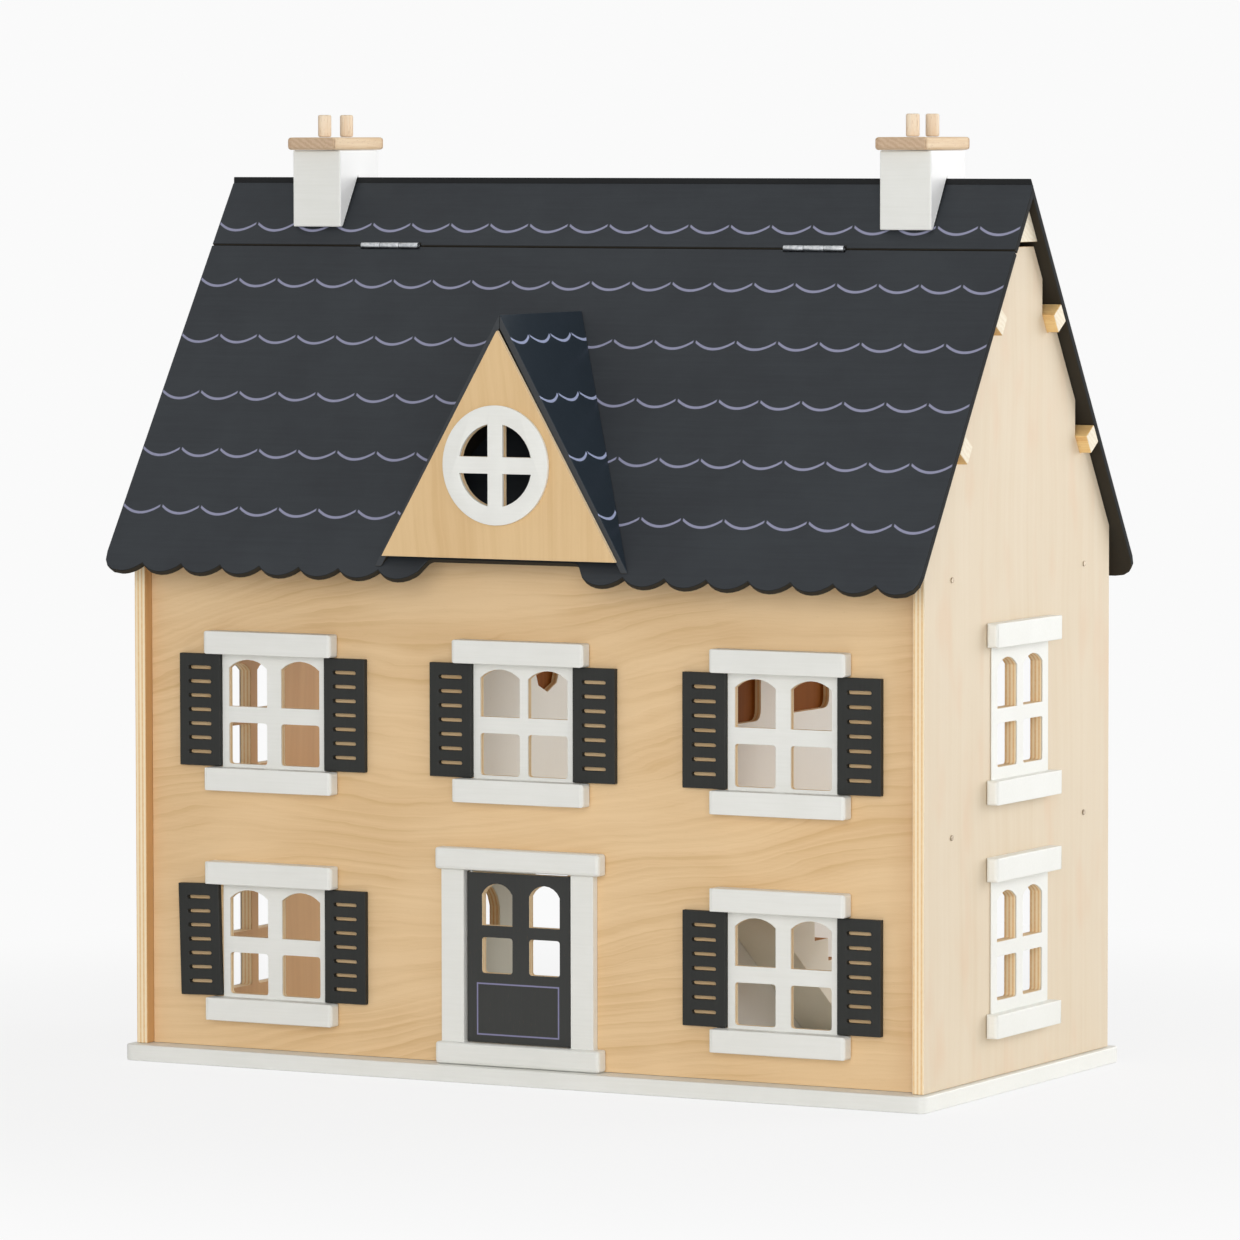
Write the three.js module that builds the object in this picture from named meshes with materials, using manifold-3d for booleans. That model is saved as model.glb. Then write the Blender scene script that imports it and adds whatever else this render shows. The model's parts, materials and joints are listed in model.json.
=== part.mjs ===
// A wooden dollhouse with a hinged roof hatch and an opening front door.
//
// Frame: millimetres, +Z up, -Y is the front of the house. The origin is the middle of the
// underside of the base board. The house is plywood: a base board, two gable walls, a thin front
// wall let in between them, two floors, four room partitions and a staircase, open at the back.
// The rear roof slope and a narrow strip below the ridge are fixed. The rest of the front slope
// is a hatch that swings up and over on two butt hinges, and carries the dormer with it.

import * as THREE from 'three';
import { mergeVertices } from 'three/addons/utils/BufferGeometryUtils.js';
import Module from 'manifold-3d';

const wasm = await Module();
wasm.setup();

// ---------------------------------------------------------------------------------------------
// Driving dimensions
// ---------------------------------------------------------------------------------------------

const DEG = Math.PI / 180;
const FIT = 0.3; // glue line or running gap between two pieces
const REACH = 20; // how far a cutter runs past the face that it opens
const MERGE_DISTANCE = 1e-4; // corners closer than this are one corner
const ARC_STEPS = 4; // half of the straight steps in each arc of an outline
const ROUND_STEPS = 20; // sides of a dowel, pin or knuckle

// Plywood stock
const WALL = 9;
const FLOOR = 9;
const PARTITION = 9;
const FRONT_WALL = 4;
const ROOF_BOARD = 5;

// Base board and shell
const BASE_THICKNESS = 12;
const BASE_MARGIN_SIDE = 5;
const BASE_MARGIN_FRONT = 10;
const BASE_CORNER = 6;
const HOUSE_WIDTH = 650;
const HOUSE_DEPTH = 312;
const FRONT_RECESS = 9.3; // front wall behind the front edges of the gable walls
const ROOM_HEIGHT = 173.5;
const KNEE = 21.4; // attic floor up to the eave corner of the gable walls
const FLOOR_SETBACK = 2; // floors behind the rear edges of the gable walls
const GABLE_FLAT = 47.5; // width of the flat top of a gable wall

// Roof
const PITCH = 57.44 * DEG; // slope of the gable edges and the rear roof
const FRONT_EASE = 1.44 * DEG; // how much flatter the front slope lies
const GABLE_CLEARANCE = 1.43; // rear board above the gable edges, carried by the purlins
const LID_CLEARANCE = 0.6; // front boards above the front corners of the gable tops
const OVERHANG_LEFT = 7;
const REAR_OVERHANG_RIGHT = 9;
const FRONT_OVERHANG_RIGHT = 11;
const REAR_SLOPE = 347.3; // ridge to eave, along the slope
const FRONT_SLOPE = 343.2;
const EAVE_CORNER = 16;
const STRIP_SLOPE = 56.4; // fixed strip below the ridge, along the slope
const HATCH_GAP = 1;
const BEAM_LIFT = 3.5; // ridge beam above the gable tops
const BEAM_STICKOUT = 3.4; // ridge beam past the outside of the gable walls
const PURLIN = 15;
const PURLIN_FROM_EAVE = 81.9; // eave corner of a gable wall to the lower purlin, along the slope
const PURLIN_SPACING = 106;
const PURLIN_STICKOUT = 9;

// Scalloped eave of the hatch
const LOBES = 20;
const LOBE_DEPTH = 7.3;
const NOTCH_WIDTH = 143; // finger notch in the middle of the eave, at the tips of the lobes
const NOTCH_DEPTH = 17.8;
const NOTCH_LEAN = 10.5; // each side of the notch leans inwards this far up to its ceiling
const NOTCH_CORNER = 3;

// Hatch hinges
const HINGE_FROM_GABLE = 148.5; // outside of a gable wall to the middle of a hinge
const HINGE_LENGTH = 48.5;
const BARREL_RADIUS = 2.1;
const BARREL_PROUD = 0.9; // hinge line above the outside of the roof boards
const PIN_RADIUS = 0.8;
const HINGE_SHEET = 0.8;
const HINGE_LEAF = 6;
const KNUCKLE_GAP = 0.4;

// Dormer
const DORMER_RIDGE_DROP = 92.5; // top of the front slope down to the dormer ridge
const DORMER_FRONT = 30.5; // dormer roof in front of the gable walls
const DORMER_BACK_MARGIN = 12; // uncut roof panels run this far past the slope, and are cut to it
const DORMER_SLOPE = 0.567; // run over rise of a dormer roof panel
const DORMER_BOARD = 4;
const DORMER_BOARD_FOOT = 9.1; // bottom of the gable board above the slope behind it
const DORMER_BOARD_SPLAY = 0.5846; // run over rise of the gable board's sloping edges
const DORMER_BOARD_DROP = 11.6; // dormer ridge down to the tip of its gable board
const ROUND_WINDOW_RADIUS = 43;
const ROUND_WINDOW_OPENING = 30;
const ROUND_WINDOW_BAR = 12;
const ROUND_WINDOW_THICKNESS = 2.5;
const ROUND_WINDOW_RISE = 67.3; // bottom of the gable board to the window's middle
const ROUND_WINDOW_ARCS = 8; // arcs in the round outline

// Chimneys
const CHIMNEY_FROM_GABLE = 80; // outside of a gable wall to the middle of a chimney
const CHIMNEY_SHIFT = 1.7; // both chimneys stand this far to the right
const CHIMNEY_WIDTH = 41;
const CHIMNEY_DEPTH = 57;
const CHIMNEY_SET = 1.8; // middle of a chimney behind the ridge line
const CHIMNEY_TOP = 19.9; // stack above the ridge
const CHIMNEY_FOOT = 37.2; // flat feet of a stack below the ridge
const CAP_OVERHANG = 8; // cap past the front and rear of its stack; its sides are flush
const CAP_THICKNESS = 9.3;
const CAP_CORNER = 2.5;
const POT_RADIUS = 5;
const POT_HEIGHT = 16.5;
const POT_SPACING = 32.4;

// Front windows
const WINDOW_FROM_GABLE = 106; // inside of a gable wall to the middle of the nearest window
const GROUND_SILL_RISE = 37.9; // base board up to the top of a ground floor sill
const UPPER_SILL_RISE = 26; // middle floor up to the top of an upper sill
const SILL_LENGTH = 108.6;
const SILL_HEIGHT = 17;
const SILL_DEPTH = 12;
const TRIM_LAP = 4.2; // a frame or jamb runs this far behind its sill and header
const FRAME_SHEET = 0.8;
const FRAME_STILE = 5.6; // frame outside the panes
const PANE_CORNER = 2.5;
const FRONT_PANES = {
  width: 32.6, mullion: 12, arch: 6.4,
  bottomRail: 2.5, lower: 30.7, crossbar: 11.8, upper: 34.8, topRail: 4.2,
};
const MIDDLE_MULLION = 6.8; // the upper middle window has a thinner post

// Shutters
const SHUTTER_WIDTH = 34.5;
const SHUTTER_THICKNESS = 4.5;
const SHUTTER_PLAY = 0.5; // shutter to sill and to header
const SHUTTER_SLOTS = 7;
const SLOT_PITCH = 10.4;
const SLOT_LENGTH = 19.6;
const SLOT_HEIGHT = 2.8;
const SLOT_END_STEPS = 4; // straight steps in each round end
const SKEW_SHUTTER = 1.5 * DEG; // one shutter was glued on slightly askew

// Side windows
const SIDE_GROUND_RISE = 46.3;
const SIDE_UPPER_RISE = 31.5;
const LEFT_WINDOW_DROP = 26; // windows of the left gable wall below those of the right one
const SIDE_SILL_LENGTH = 111;
const SIDE_SILL_HEIGHT = 17.5;
const SIDE_SILL_DEPTH = 9;
const SIDE_FRAME_STILE = 9.4;
const SIDE_PANES = {
  width: 33, mullion: 10.4, bottomRail: 8.4, lower: 31.6, crossbar: 10.4, upper: 36.4, topRail: 8.2, arch: 6.6,
};

// Front door
const DOOR_SHIFT = -3; // middle of the door from the middle of the house
const DOOR_WIDTH = 86;
const DOOR_HEIGHT = 123.8;
const DOOR_THICKNESS = 6;
const DOOR_PROUD = 5.5; // front of the leaf in front of the wall
const DOOR_HINGE_GAP = 1.2;
const DOOR_LATCH_GAP = 1.2;
const DOOR_LIFT = 0.5; // leaf above the threshold
const DOOR_HEAD_GAP = 1.7; // leaf below the header
const DOOR_TRIM_LENGTH = 135.6;
const DOOR_TRIM_HEIGHT = 16;
const DOOR_TRIM_DEPTH = 12;
const DOOR_TRIM_SHIFT = 2.2; // middle of the header and threshold from the middle of the leaf
const JAMB_WIDTH = 18.5;
const JAMB_DEPTH = 6.5;
const DOOR_ROD_RADIUS = 1;
const DOOR_ROD_INSET = 3; // hinge edge of the leaf to the rod's axis
const DOOR_ROD_GRIP = 6; // rod let into the header and the threshold
const DOOR_PANE_SHIFT = 2.5; // middle of the panes from the middle of the leaf
const DOOR_PANES = {
  width: 25, mullion: 14, bottomRail: 50.7, lower: 26.1, crossbar: 8.7, upper: 30.6, topRail: 7.7, arch: 8,
};

// Rooms. Heights of the openings and recesses are above the floor that they stand on.
const SIDE_ROOM_WIDTH = 206.5;
const POCKET_DEPTH = 5; // shallow recesses in the room side of a partition
const ROOM_CORNER = 9; // round corners of room openings and recesses
const ROOM_DOORWAY = { front: 45, rear: 118, height: 118 };
const ROOM_ARCH = { front: -52, rear: -4, bottom: 80, height: 38 };
const ROUND_RECESS = { radius: 20, y: 71, rise: 92 };
const WIDE_RECESS = { front: 6, rear: 92, bottom: 86, top: 140 };
const TALL_RECESS_FRONT = { front: -62, rear: 14, bottom: 62, top: 132 };
const TALL_RECESS_REAR = { front: 44, rear: 126, bottom: 64, top: 132 };
const STAIR_WIDTH = 40;
const STAIR_TREADS = 10;
const STAIR_GOING = 22.4;
const STAIR_FOOT = 20; // rear edge of the floors to the first riser
const STAIR_DEPTH = 30; // height of the flight under its top tread
const STAIRWELL_LENGTH = 65;
const STAIRWELL_MARGIN = 2;

// ---------------------------------------------------------------------------------------------
// Levels and planes worked out from the driving dimensions
// ---------------------------------------------------------------------------------------------

const halfWidth = HOUSE_WIDTH / 2;
const halfDepth = HOUSE_DEPTH / 2;
const innerHalf = halfWidth - WALL;
const windowOffset = innerHalf - WINDOW_FROM_GABLE;
const partitionOffset = innerHalf - SIDE_ROOM_WIDTH - PARTITION / 2;
const chimneyOffset = halfWidth - CHIMNEY_FROM_GABLE;
const hingeOffset = halfWidth - HINGE_FROM_GABLE;

const baseTop = BASE_THICKNESS;
const middleFloorBottom = baseTop + ROOM_HEIGHT;
const middleFloorTop = middleFloorBottom + FLOOR;
const atticFloorBottom = middleFloorTop + ROOM_HEIGHT;
const atticFloorTop = atticFloorBottom + FLOOR;
const eave = atticFloorTop + KNEE;

const wallFace = -halfDepth + FRONT_RECESS; // outside of the front wall
const wallBack = wallFace + FRONT_WALL;
const roomBack = halfDepth - FLOOR_SETBACK;

const gableApex = eave + halfDepth * Math.tan(PITCH);
const gableTop = gableApex - (GABLE_FLAT / 2) * Math.tan(PITCH);
const ridge = gableApex + (GABLE_CLEARANCE + ROOF_BOARD) / Math.cos(PITCH);

// The front slope passes over the front corners of the gable tops, a little flatter than the rear.
const frontPitch = PITCH - FRONT_EASE;
const frontApex = gableTop + (GABLE_FLAT / 2) * Math.tan(frontPitch)
  + (LID_CLEARANCE + ROOF_BOARD) / Math.cos(frontPitch);

const roofLeft = -halfWidth - OVERHANG_LEFT;
const rearRight = halfWidth + REAR_OVERHANG_RIGHT;
const frontRight = halfWidth + FRONT_OVERHANG_RIGHT;
const frontCentre = (roofLeft + frontRight) / 2;
const hatchTop = STRIP_SLOPE + HATCH_GAP;
const hingeSlope = STRIP_SLOPE + HATCH_GAP / 2;

/** Height of the front slope at depth y, a distance above (or below) its outside face. */
function frontSlopeHeight(y, above) {
  return frontApex + y * Math.tan(frontPitch) + above / Math.cos(frontPitch);
}

/** Height of the rear slope at depth y, a distance above (or below) its outside face. */
function rearSlopeHeight(y, above) {
  return ridge - y * Math.tan(PITCH) + above / Math.cos(PITCH);
}

// The front wall's top edge carries the closed hatch.
const frontWallTop = frontSlopeHeight(wallFace, -ROOF_BOARD - FIT);

// ---------------------------------------------------------------------------------------------
// Finishes
// ---------------------------------------------------------------------------------------------

function finish(colour, roughness, metalness = 0) {
  return new THREE.MeshStandardMaterial({ color: colour, roughness, metalness });
}

const finishes = {
  whitePaint: finish(0xe6e7e2, 0.55),
  frontPly: finish(0xdbbc91, 0.6),
  sidePly: finish(0xeedcbe, 0.6),
  roomPly: finish(0xb8905e, 0.65),
  roofPaint: finish(0x3e4043, 0.45),
  shutterPaint: finish(0x3c3d3c, 0.5),
  roomWhite: finish(0xe8e6de, 0.7),
  roomGrey: finish(0xc8c6b9, 0.7),
  stairPly: finish(0x9f8562, 0.65),
  beech: finish(0xcda57d, 0.55),
  steel: finish(0xc9cbcc, 0.3, 1),
};

// ---------------------------------------------------------------------------------------------
// Solids
// ---------------------------------------------------------------------------------------------

/** Makes a closed solid that can be cut and joined. */
function solid(geometry) {
  const bare = geometry.clone();
  bare.deleteAttribute('normal');
  bare.deleteAttribute('uv');
  const merged = mergeVertices(bare, MERGE_DISTANCE);
  const mesh = new wasm.Mesh({
    numProp: 3,
    vertProperties: Float32Array.from(merged.attributes.position.array),
    triVerts: Uint32Array.from(merged.index.array),
  });
  return new wasm.Manifold(mesh);
}

/** Turns a cut or joined solid back into geometry. */
function geometryOf(shape) {
  const mesh = shape.getMesh();
  const geometry = new THREE.BufferGeometry();
  geometry.setAttribute('position', new THREE.BufferAttribute(Float32Array.from(mesh.vertProperties), 3));
  geometry.setIndex(new THREE.BufferAttribute(Uint32Array.from(mesh.triVerts), 1));
  geometry.computeVertexNormals();
  return geometry;
}

function cut(body, ...cutters) {
  let result = solid(body);
  for (const cutter of cutters) {
    result = result.subtract(solid(cutter));
  }
  return geometryOf(result);
}

function join(first, ...others) {
  let result = solid(first);
  for (const other of others) {
    result = result.add(solid(other));
  }
  return geometryOf(result);
}

/** A rectangular block between low and high values along each axis. */
function block(xLow, xHigh, yLow, yHigh, zLow, zHigh) {
  const geometry = new THREE.BoxGeometry(xHigh - xLow, yHigh - yLow, zHigh - zLow);
  geometry.translate((xLow + xHigh) / 2, (yLow + yHigh) / 2, (zLow + zHigh) / 2);
  return geometry;
}

/** The points of an outline in straight steps, with no point twice. */
function steppedPoints(path) {
  const points = path.getPoints(ARC_STEPS);
  return points.filter((point, index) => (
    point.distanceTo(points[(index + 1) % points.length]) > MERGE_DISTANCE
  ));
}

function extrudeOutline(path, depth) {
  const outline = new THREE.Shape(steppedPoints(path));
  return new THREE.ExtrudeGeometry(outline, { depth, bevelEnabled: false });
}

/** Extrudes an outline along z, and cuts its holes right through. */
function extrude(shape, depth) {
  const holes = shape.holes.map((hole) => (
    extrudeOutline(hole, depth + 2 * REACH).translate(0, 0, -REACH)
  ));
  return cut(extrudeOutline(shape, depth), ...holes);
}

/** Extrudes an outline seen from the front: across is x, up is z. */
function frontPlate(shape, front, back) {
  const geometry = extrude(shape, back - front);
  geometry.rotateX(Math.PI / 2);
  geometry.translate(0, back, 0);
  return geometry;
}

/** Extrudes an outline seen from the right: across is y, up is z. */
function sidePlate(shape, left, right) {
  const geometry = extrude(shape, right - left);
  const across = new THREE.Vector3(0, 1, 0);
  const up = new THREE.Vector3(0, 0, 1);
  const along = new THREE.Vector3(1, 0, 0);
  geometry.applyMatrix4(new THREE.Matrix4().makeBasis(across, up, along));
  geometry.translate(left, 0, 0);
  return geometry;
}

/** A rod along x. */
function rodAcross(radius, left, right) {
  const geometry = new THREE.CylinderGeometry(radius, radius, right - left, ROUND_STEPS);
  geometry.rotateZ(Math.PI / 2);
  geometry.translate((left + right) / 2, 0, 0);
  return geometry;
}

/** A rod along z. */
function rodUp(radius, bottom, top) {
  const geometry = new THREE.CylinderGeometry(radius, radius, top - bottom, ROUND_STEPS);
  geometry.rotateX(Math.PI / 2);
  geometry.translate(0, 0, (bottom + top) / 2);
  return geometry;
}

// ---------------------------------------------------------------------------------------------
// Outlines
// ---------------------------------------------------------------------------------------------

function polygon(points) {
  return new THREE.Shape(points.map(([across, up]) => new THREE.Vector2(across, up)));
}

function roundedRectangle(left, right, bottom, top, radius) {
  const shape = new THREE.Shape();
  shape.moveTo(left + radius, bottom);
  shape.lineTo(right - radius, bottom);
  shape.quadraticCurveTo(right, bottom, right, bottom + radius);
  shape.lineTo(right, top - radius);
  shape.quadraticCurveTo(right, top, right - radius, top);
  shape.lineTo(left + radius, top);
  shape.quadraticCurveTo(left, top, left, top - radius);
  shape.lineTo(left, bottom + radius);
  shape.quadraticCurveTo(left, bottom, left + radius, bottom);
  return shape;
}

/** A pane with square feet and a low arch on top; rise is the height of the arch. */
function archedPane(left, right, bottom, top, rise) {
  const half = (right - left) / 2;
  const radius = (half * half + rise * rise) / (2 * rise);
  const sweep = Math.asin(half / radius);
  const shape = new THREE.Shape();
  shape.moveTo(left, bottom);
  shape.lineTo(right, bottom);
  shape.lineTo(right, top - rise);
  shape.absarc((left + right) / 2, top - radius, radius, Math.PI / 2 - sweep, Math.PI / 2 + sweep, false);
  shape.lineTo(left, bottom);
  return shape;
}

function paneSpan(panes) {
  return panes.bottomRail + panes.lower + panes.crossbar + panes.upper + panes.topRail;
}

function paneHalf(panes) {
  return panes.mullion / 2 + panes.width;
}

/** The four panes of a window whose sill top is at the given level. */
function fourPanes(centre, sillTop, panes) {
  const shapes = [];
  const lowerBottom = sillTop + panes.bottomRail;
  const upperBottom = lowerBottom + panes.lower + panes.crossbar;
  for (const side of [-1, 1]) {
    const inner = centre + side * panes.mullion / 2;
    const outer = inner + side * panes.width;
    const left = Math.min(inner, outer);
    const right = Math.max(inner, outer);
    shapes.push(roundedRectangle(left, right, lowerBottom, lowerBottom + panes.lower, PANE_CORNER));
    shapes.push(archedPane(left, right, upperBottom, upperBottom + panes.upper, panes.arch));
  }
  return shapes;
}

// ---------------------------------------------------------------------------------------------
// Windows and door as they stand in the walls
// ---------------------------------------------------------------------------------------------

const groundSill = baseTop + GROUND_SILL_RISE;
const upperSill = middleFloorTop + UPPER_SILL_RISE;
const middlePanes = { ...FRONT_PANES, mullion: MIDDLE_MULLION };

const frontWindows = [
  { name: 'upper_left', centre: -windowOffset, sillTop: upperSill, panes: FRONT_PANES },
  { name: 'upper_middle', centre: 0, sillTop: upperSill, panes: middlePanes },
  { name: 'upper_right', centre: windowOffset, sillTop: upperSill, panes: FRONT_PANES },
  { name: 'lower_left', centre: -windowOffset, sillTop: groundSill, panes: FRONT_PANES },
  { name: 'lower_right', centre: windowOffset, sillTop: groundSill, panes: FRONT_PANES },
];
const skewedShutter = 'lower_left_left';

const sideWindows = [
  { name: 'upper', sillTop: middleFloorTop + SIDE_UPPER_RISE },
  { name: 'lower', sillTop: baseTop + SIDE_GROUND_RISE },
];

const thresholdTop = baseTop + FIT + DOOR_TRIM_HEIGHT;
const doorBottom = thresholdTop + DOOR_LIFT;
const doorTop = doorBottom + DOOR_HEIGHT;
const doorHead = doorTop + DOOR_HEAD_GAP;
const doorLeft = DOOR_SHIFT - DOOR_WIDTH / 2;
const doorRight = DOOR_SHIFT + DOOR_WIDTH / 2;
const doorwayLeft = doorLeft - DOOR_HINGE_GAP;
const doorwayRight = doorRight + DOOR_LATCH_GAP;
const doorRodX = doorLeft + DOOR_ROD_INSET;
const doorFront = wallFace - DOOR_PROUD;
const doorRodY = doorFront + DOOR_THICKNESS / 2;

// ---------------------------------------------------------------------------------------------
// The model
// ---------------------------------------------------------------------------------------------

const dollhouse = new THREE.Group();

/** Adds one named piece to a group. */
function piece(parent, name, geometry, material) {
  const mesh = new THREE.Mesh(geometry, material);
  mesh.name = name;
  parent.add(mesh);
  return mesh;
}

/** A group whose local y runs up a slope, local z points out of it, and origin is on its apex. */
function slopeGroup(apex, pitch, rear) {
  const group = new THREE.Group();
  group.position.set(0, 0, apex);
  if (rear) {
    group.rotation.set(-pitch, 0, Math.PI);
  } else {
    group.rotation.set(pitch, 0, 0);
  }
  group.updateMatrix();
  dollhouse.add(group);
  return group;
}

const frontSlope = slopeGroup(frontApex, frontPitch, false);
const rearSlope = slopeGroup(ridge, PITCH, true);
const frontGable = slopeGroup(gableApex, PITCH, false);
const rearGable = slopeGroup(gableApex, PITCH, true);

// Base board -----------------------------------------------------------------------------------

function baseBoard() {
  const x = halfWidth + BASE_MARGIN_SIDE;
  const y = halfDepth + BASE_MARGIN_FRONT;
  return extrude(roundedRectangle(-x, x, -y, y, BASE_CORNER), BASE_THICKNESS);
}

piece(dollhouse, 'base_board', baseBoard(), finishes.whitePaint);

// Purlins: square battens let into notches in the gable edges ------------------------------------

const lowerPurlin = halfDepth / Math.cos(PITCH) - PURLIN_FROM_EAVE;
const purlinRows = [
  { name: 'upper', slope: lowerPurlin - PURLIN_SPACING },
  { name: 'lower', slope: lowerPurlin },
];
const purlinFace = GABLE_CLEARANCE - FIT;
const purlinInner = purlinFace - PURLIN;

/** Cutter for a purlin's notch, in the frame of a gable slope. Its upper side is plumb. */
function purlinNotch(slope) {
  const low = -slope - PURLIN / 2 - FIT;
  const high = -slope + PURLIN / 2 + FIT;
  const floor = purlinInner - FIT;
  const lean = (REACH - floor) * Math.tan(PITCH);
  const outline = polygon([[low, floor], [high, floor], [high + lean, REACH], [low, REACH]]);
  return sidePlate(outline, -HOUSE_WIDTH, HOUSE_WIDTH);
}

for (const [place, group] of [['front', frontGable], ['rear', rearGable]]) {
  for (const row of purlinRows) {
    const half = halfWidth + PURLIN_STICKOUT;
    const batten = new THREE.BoxGeometry(2 * half, PURLIN, PURLIN);
    const mesh = piece(group, `purlin_${place}_${row.name}`, batten, finishes.beech);
    mesh.position.set(0, -row.slope, purlinFace - PURLIN / 2);
  }
}

// Gable walls ------------------------------------------------------------------------------------

function gableWall(left, right, windowDrop) {
  const outline = polygon([
    [-halfDepth, baseTop + FIT],
    [halfDepth, baseTop + FIT],
    [halfDepth, eave],
    [GABLE_FLAT / 2, gableTop],
    [-GABLE_FLAT / 2, gableTop],
    [-halfDepth, eave],
  ]);
  for (const light of sideWindows) {
    outline.holes.push(...fourPanes(0, light.sillTop - windowDrop, SIDE_PANES));
  }
  const notches = [];
  for (const group of [frontGable, rearGable]) {
    for (const row of purlinRows) {
      notches.push(purlinNotch(row.slope).applyMatrix4(group.matrix));
    }
  }
  return cut(sidePlate(outline, left, right), ...notches);
}

piece(dollhouse, 'left_wall', gableWall(-halfWidth, -innerHalf, LEFT_WINDOW_DROP), finishes.sidePly);
piece(dollhouse, 'right_wall', gableWall(innerHalf, halfWidth, 0), finishes.sidePly);

// Front wall with its window and door openings ---------------------------------------------------

function frontWall() {
  const edge = innerHalf - FIT;
  const outline = polygon([
    [-edge, baseTop + FIT], [edge, baseTop + FIT], [edge, frontWallTop], [-edge, frontWallTop],
  ]);
  for (const light of frontWindows) {
    outline.holes.push(...fourPanes(light.centre, light.sillTop, light.panes));
  }
  outline.holes.push(polygon([
    [doorwayLeft, thresholdTop], [doorwayRight, thresholdTop],
    [doorwayRight, doorHead], [doorwayLeft, doorHead],
  ]));
  return frontPlate(outline, wallFace, wallBack);
}

piece(dollhouse, 'front_wall', frontWall(), finishes.frontPly);

// Floors -----------------------------------------------------------------------------------------

const roomFront = wallBack + FIT;
const partitionFace = partitionOffset + PARTITION / 2;
const stairLeft = partitionFace + FIT;
const stairRight = stairLeft + STAIR_WIDTH;
const stairStart = roomBack - STAIR_FOOT;
const stairEnd = stairStart - STAIR_TREADS * STAIR_GOING;

function middleFloor() {
  const edge = innerHalf - FIT;
  const board = block(-edge, edge, roomFront, roomBack, middleFloorBottom, middleFloorTop);
  const stairwell = block(
    partitionFace,
    stairRight + STAIRWELL_MARGIN,
    stairEnd,
    stairEnd + STAIRWELL_LENGTH,
    middleFloorBottom - REACH,
    middleFloorTop + REACH,
  );
  return cut(board, stairwell);
}

function atticFloor() {
  const edge = innerHalf - FIT;
  return block(-edge, edge, roomFront, roomBack, atticFloorBottom, atticFloorTop);
}

piece(dollhouse, 'middle_floor', middleFloor(), finishes.roomPly);
piece(dollhouse, 'attic_floor', atticFloor(), finishes.roomPly);

// Partitions -------------------------------------------------------------------------------------

/** A partition between two floors, centred at x; holes go right through it. */
function partition(x, floorTop, holes) {
  const bottom = floorTop + FIT;
  const outline = polygon([
    [roomFront, bottom], [roomBack, bottom], [roomBack, floorTop + ROOM_HEIGHT - FIT],
    [roomFront, floorTop + ROOM_HEIGHT - FIT],
  ]);
  outline.holes.push(...holes);
  return sidePlate(outline, x - PARTITION / 2, x + PARTITION / 2);
}

/** Cutter for a shallow recess in the right-hand face of a partition centred at x. */
function pocket(x, outline) {
  const face = x + PARTITION / 2;
  return sidePlate(outline, face - POCKET_DEPTH, face + REACH);
}

function recessOutline(recess, floorTop) {
  return roundedRectangle(
    recess.front, recess.rear, floorTop + recess.bottom, floorTop + recess.top, ROOM_CORNER,
  );
}

function groundPartitionLeft() {
  const archBottom = baseTop + ROOM_ARCH.bottom;
  const arch = archedPane(
    ROOM_ARCH.front, ROOM_ARCH.rear, archBottom, archBottom + ROOM_ARCH.height, ROOM_ARCH.height / 2,
  );
  const doorway = roundedRectangle(
    ROOM_DOORWAY.front, ROOM_DOORWAY.rear, baseTop - REACH, baseTop + ROOM_DOORWAY.height, ROOM_CORNER,
  );
  const opening = sidePlate(doorway, -partitionOffset - REACH, -partitionOffset + REACH);
  return cut(partition(-partitionOffset, baseTop, [arch]), opening);
}

function groundPartitionRight() {
  const recess = pocket(partitionOffset, recessOutline(WIDE_RECESS, baseTop));
  return cut(partition(partitionOffset, baseTop, []), recess);
}

function upperPartitionLeft() {
  const level = middleFloorTop + ROUND_RECESS.rise;
  const circle = new THREE.Shape();
  circle.absarc(ROUND_RECESS.y, level, ROUND_RECESS.radius, 0, 2 * Math.PI, false);
  return cut(partition(-partitionOffset, middleFloorTop, []), pocket(-partitionOffset, circle));
}

function upperPartitionRight() {
  const front = pocket(partitionOffset, recessOutline(TALL_RECESS_FRONT, middleFloorTop));
  const rear = pocket(partitionOffset, recessOutline(TALL_RECESS_REAR, middleFloorTop));
  return cut(partition(partitionOffset, middleFloorTop, []), front, rear);
}

piece(dollhouse, 'ground_partition_left', groundPartitionLeft(), finishes.roomGrey);
piece(dollhouse, 'ground_partition_right', groundPartitionRight(), finishes.roomWhite);
piece(dollhouse, 'upper_partition_left', upperPartitionLeft(), finishes.roomWhite);
piece(dollhouse, 'upper_partition_right', upperPartitionRight(), finishes.roomWhite);

// Staircase: a saw-tooth flight that rises from the back of the house towards the front ------------

function stairFlight() {
  const bottom = baseTop + FIT;
  const riser = (middleFloorTop - baseTop) / (STAIR_TREADS + 1);
  const points = [[stairStart, bottom]];
  for (let tread = 1; tread <= STAIR_TREADS; tread += 1) {
    const level = baseTop + tread * riser;
    points.push([stairStart - (tread - 1) * STAIR_GOING, level]);
    points.push([stairStart - tread * STAIR_GOING + FIT, level]);
  }
  const top = baseTop + STAIR_TREADS * riser;
  const soffit = top - STAIR_DEPTH;
  const run = (soffit - bottom) * STAIR_GOING / riser;
  points.push([stairEnd + FIT, soffit]);
  points.push([stairEnd + FIT + run, bottom]);
  return sidePlate(polygon(points.reverse()), stairLeft, stairRight);
}

piece(dollhouse, 'stair_flight', stairFlight(), finishes.stairPly);

// Ridge beam: a triangular batten under both slopes ------------------------------------------------

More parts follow.
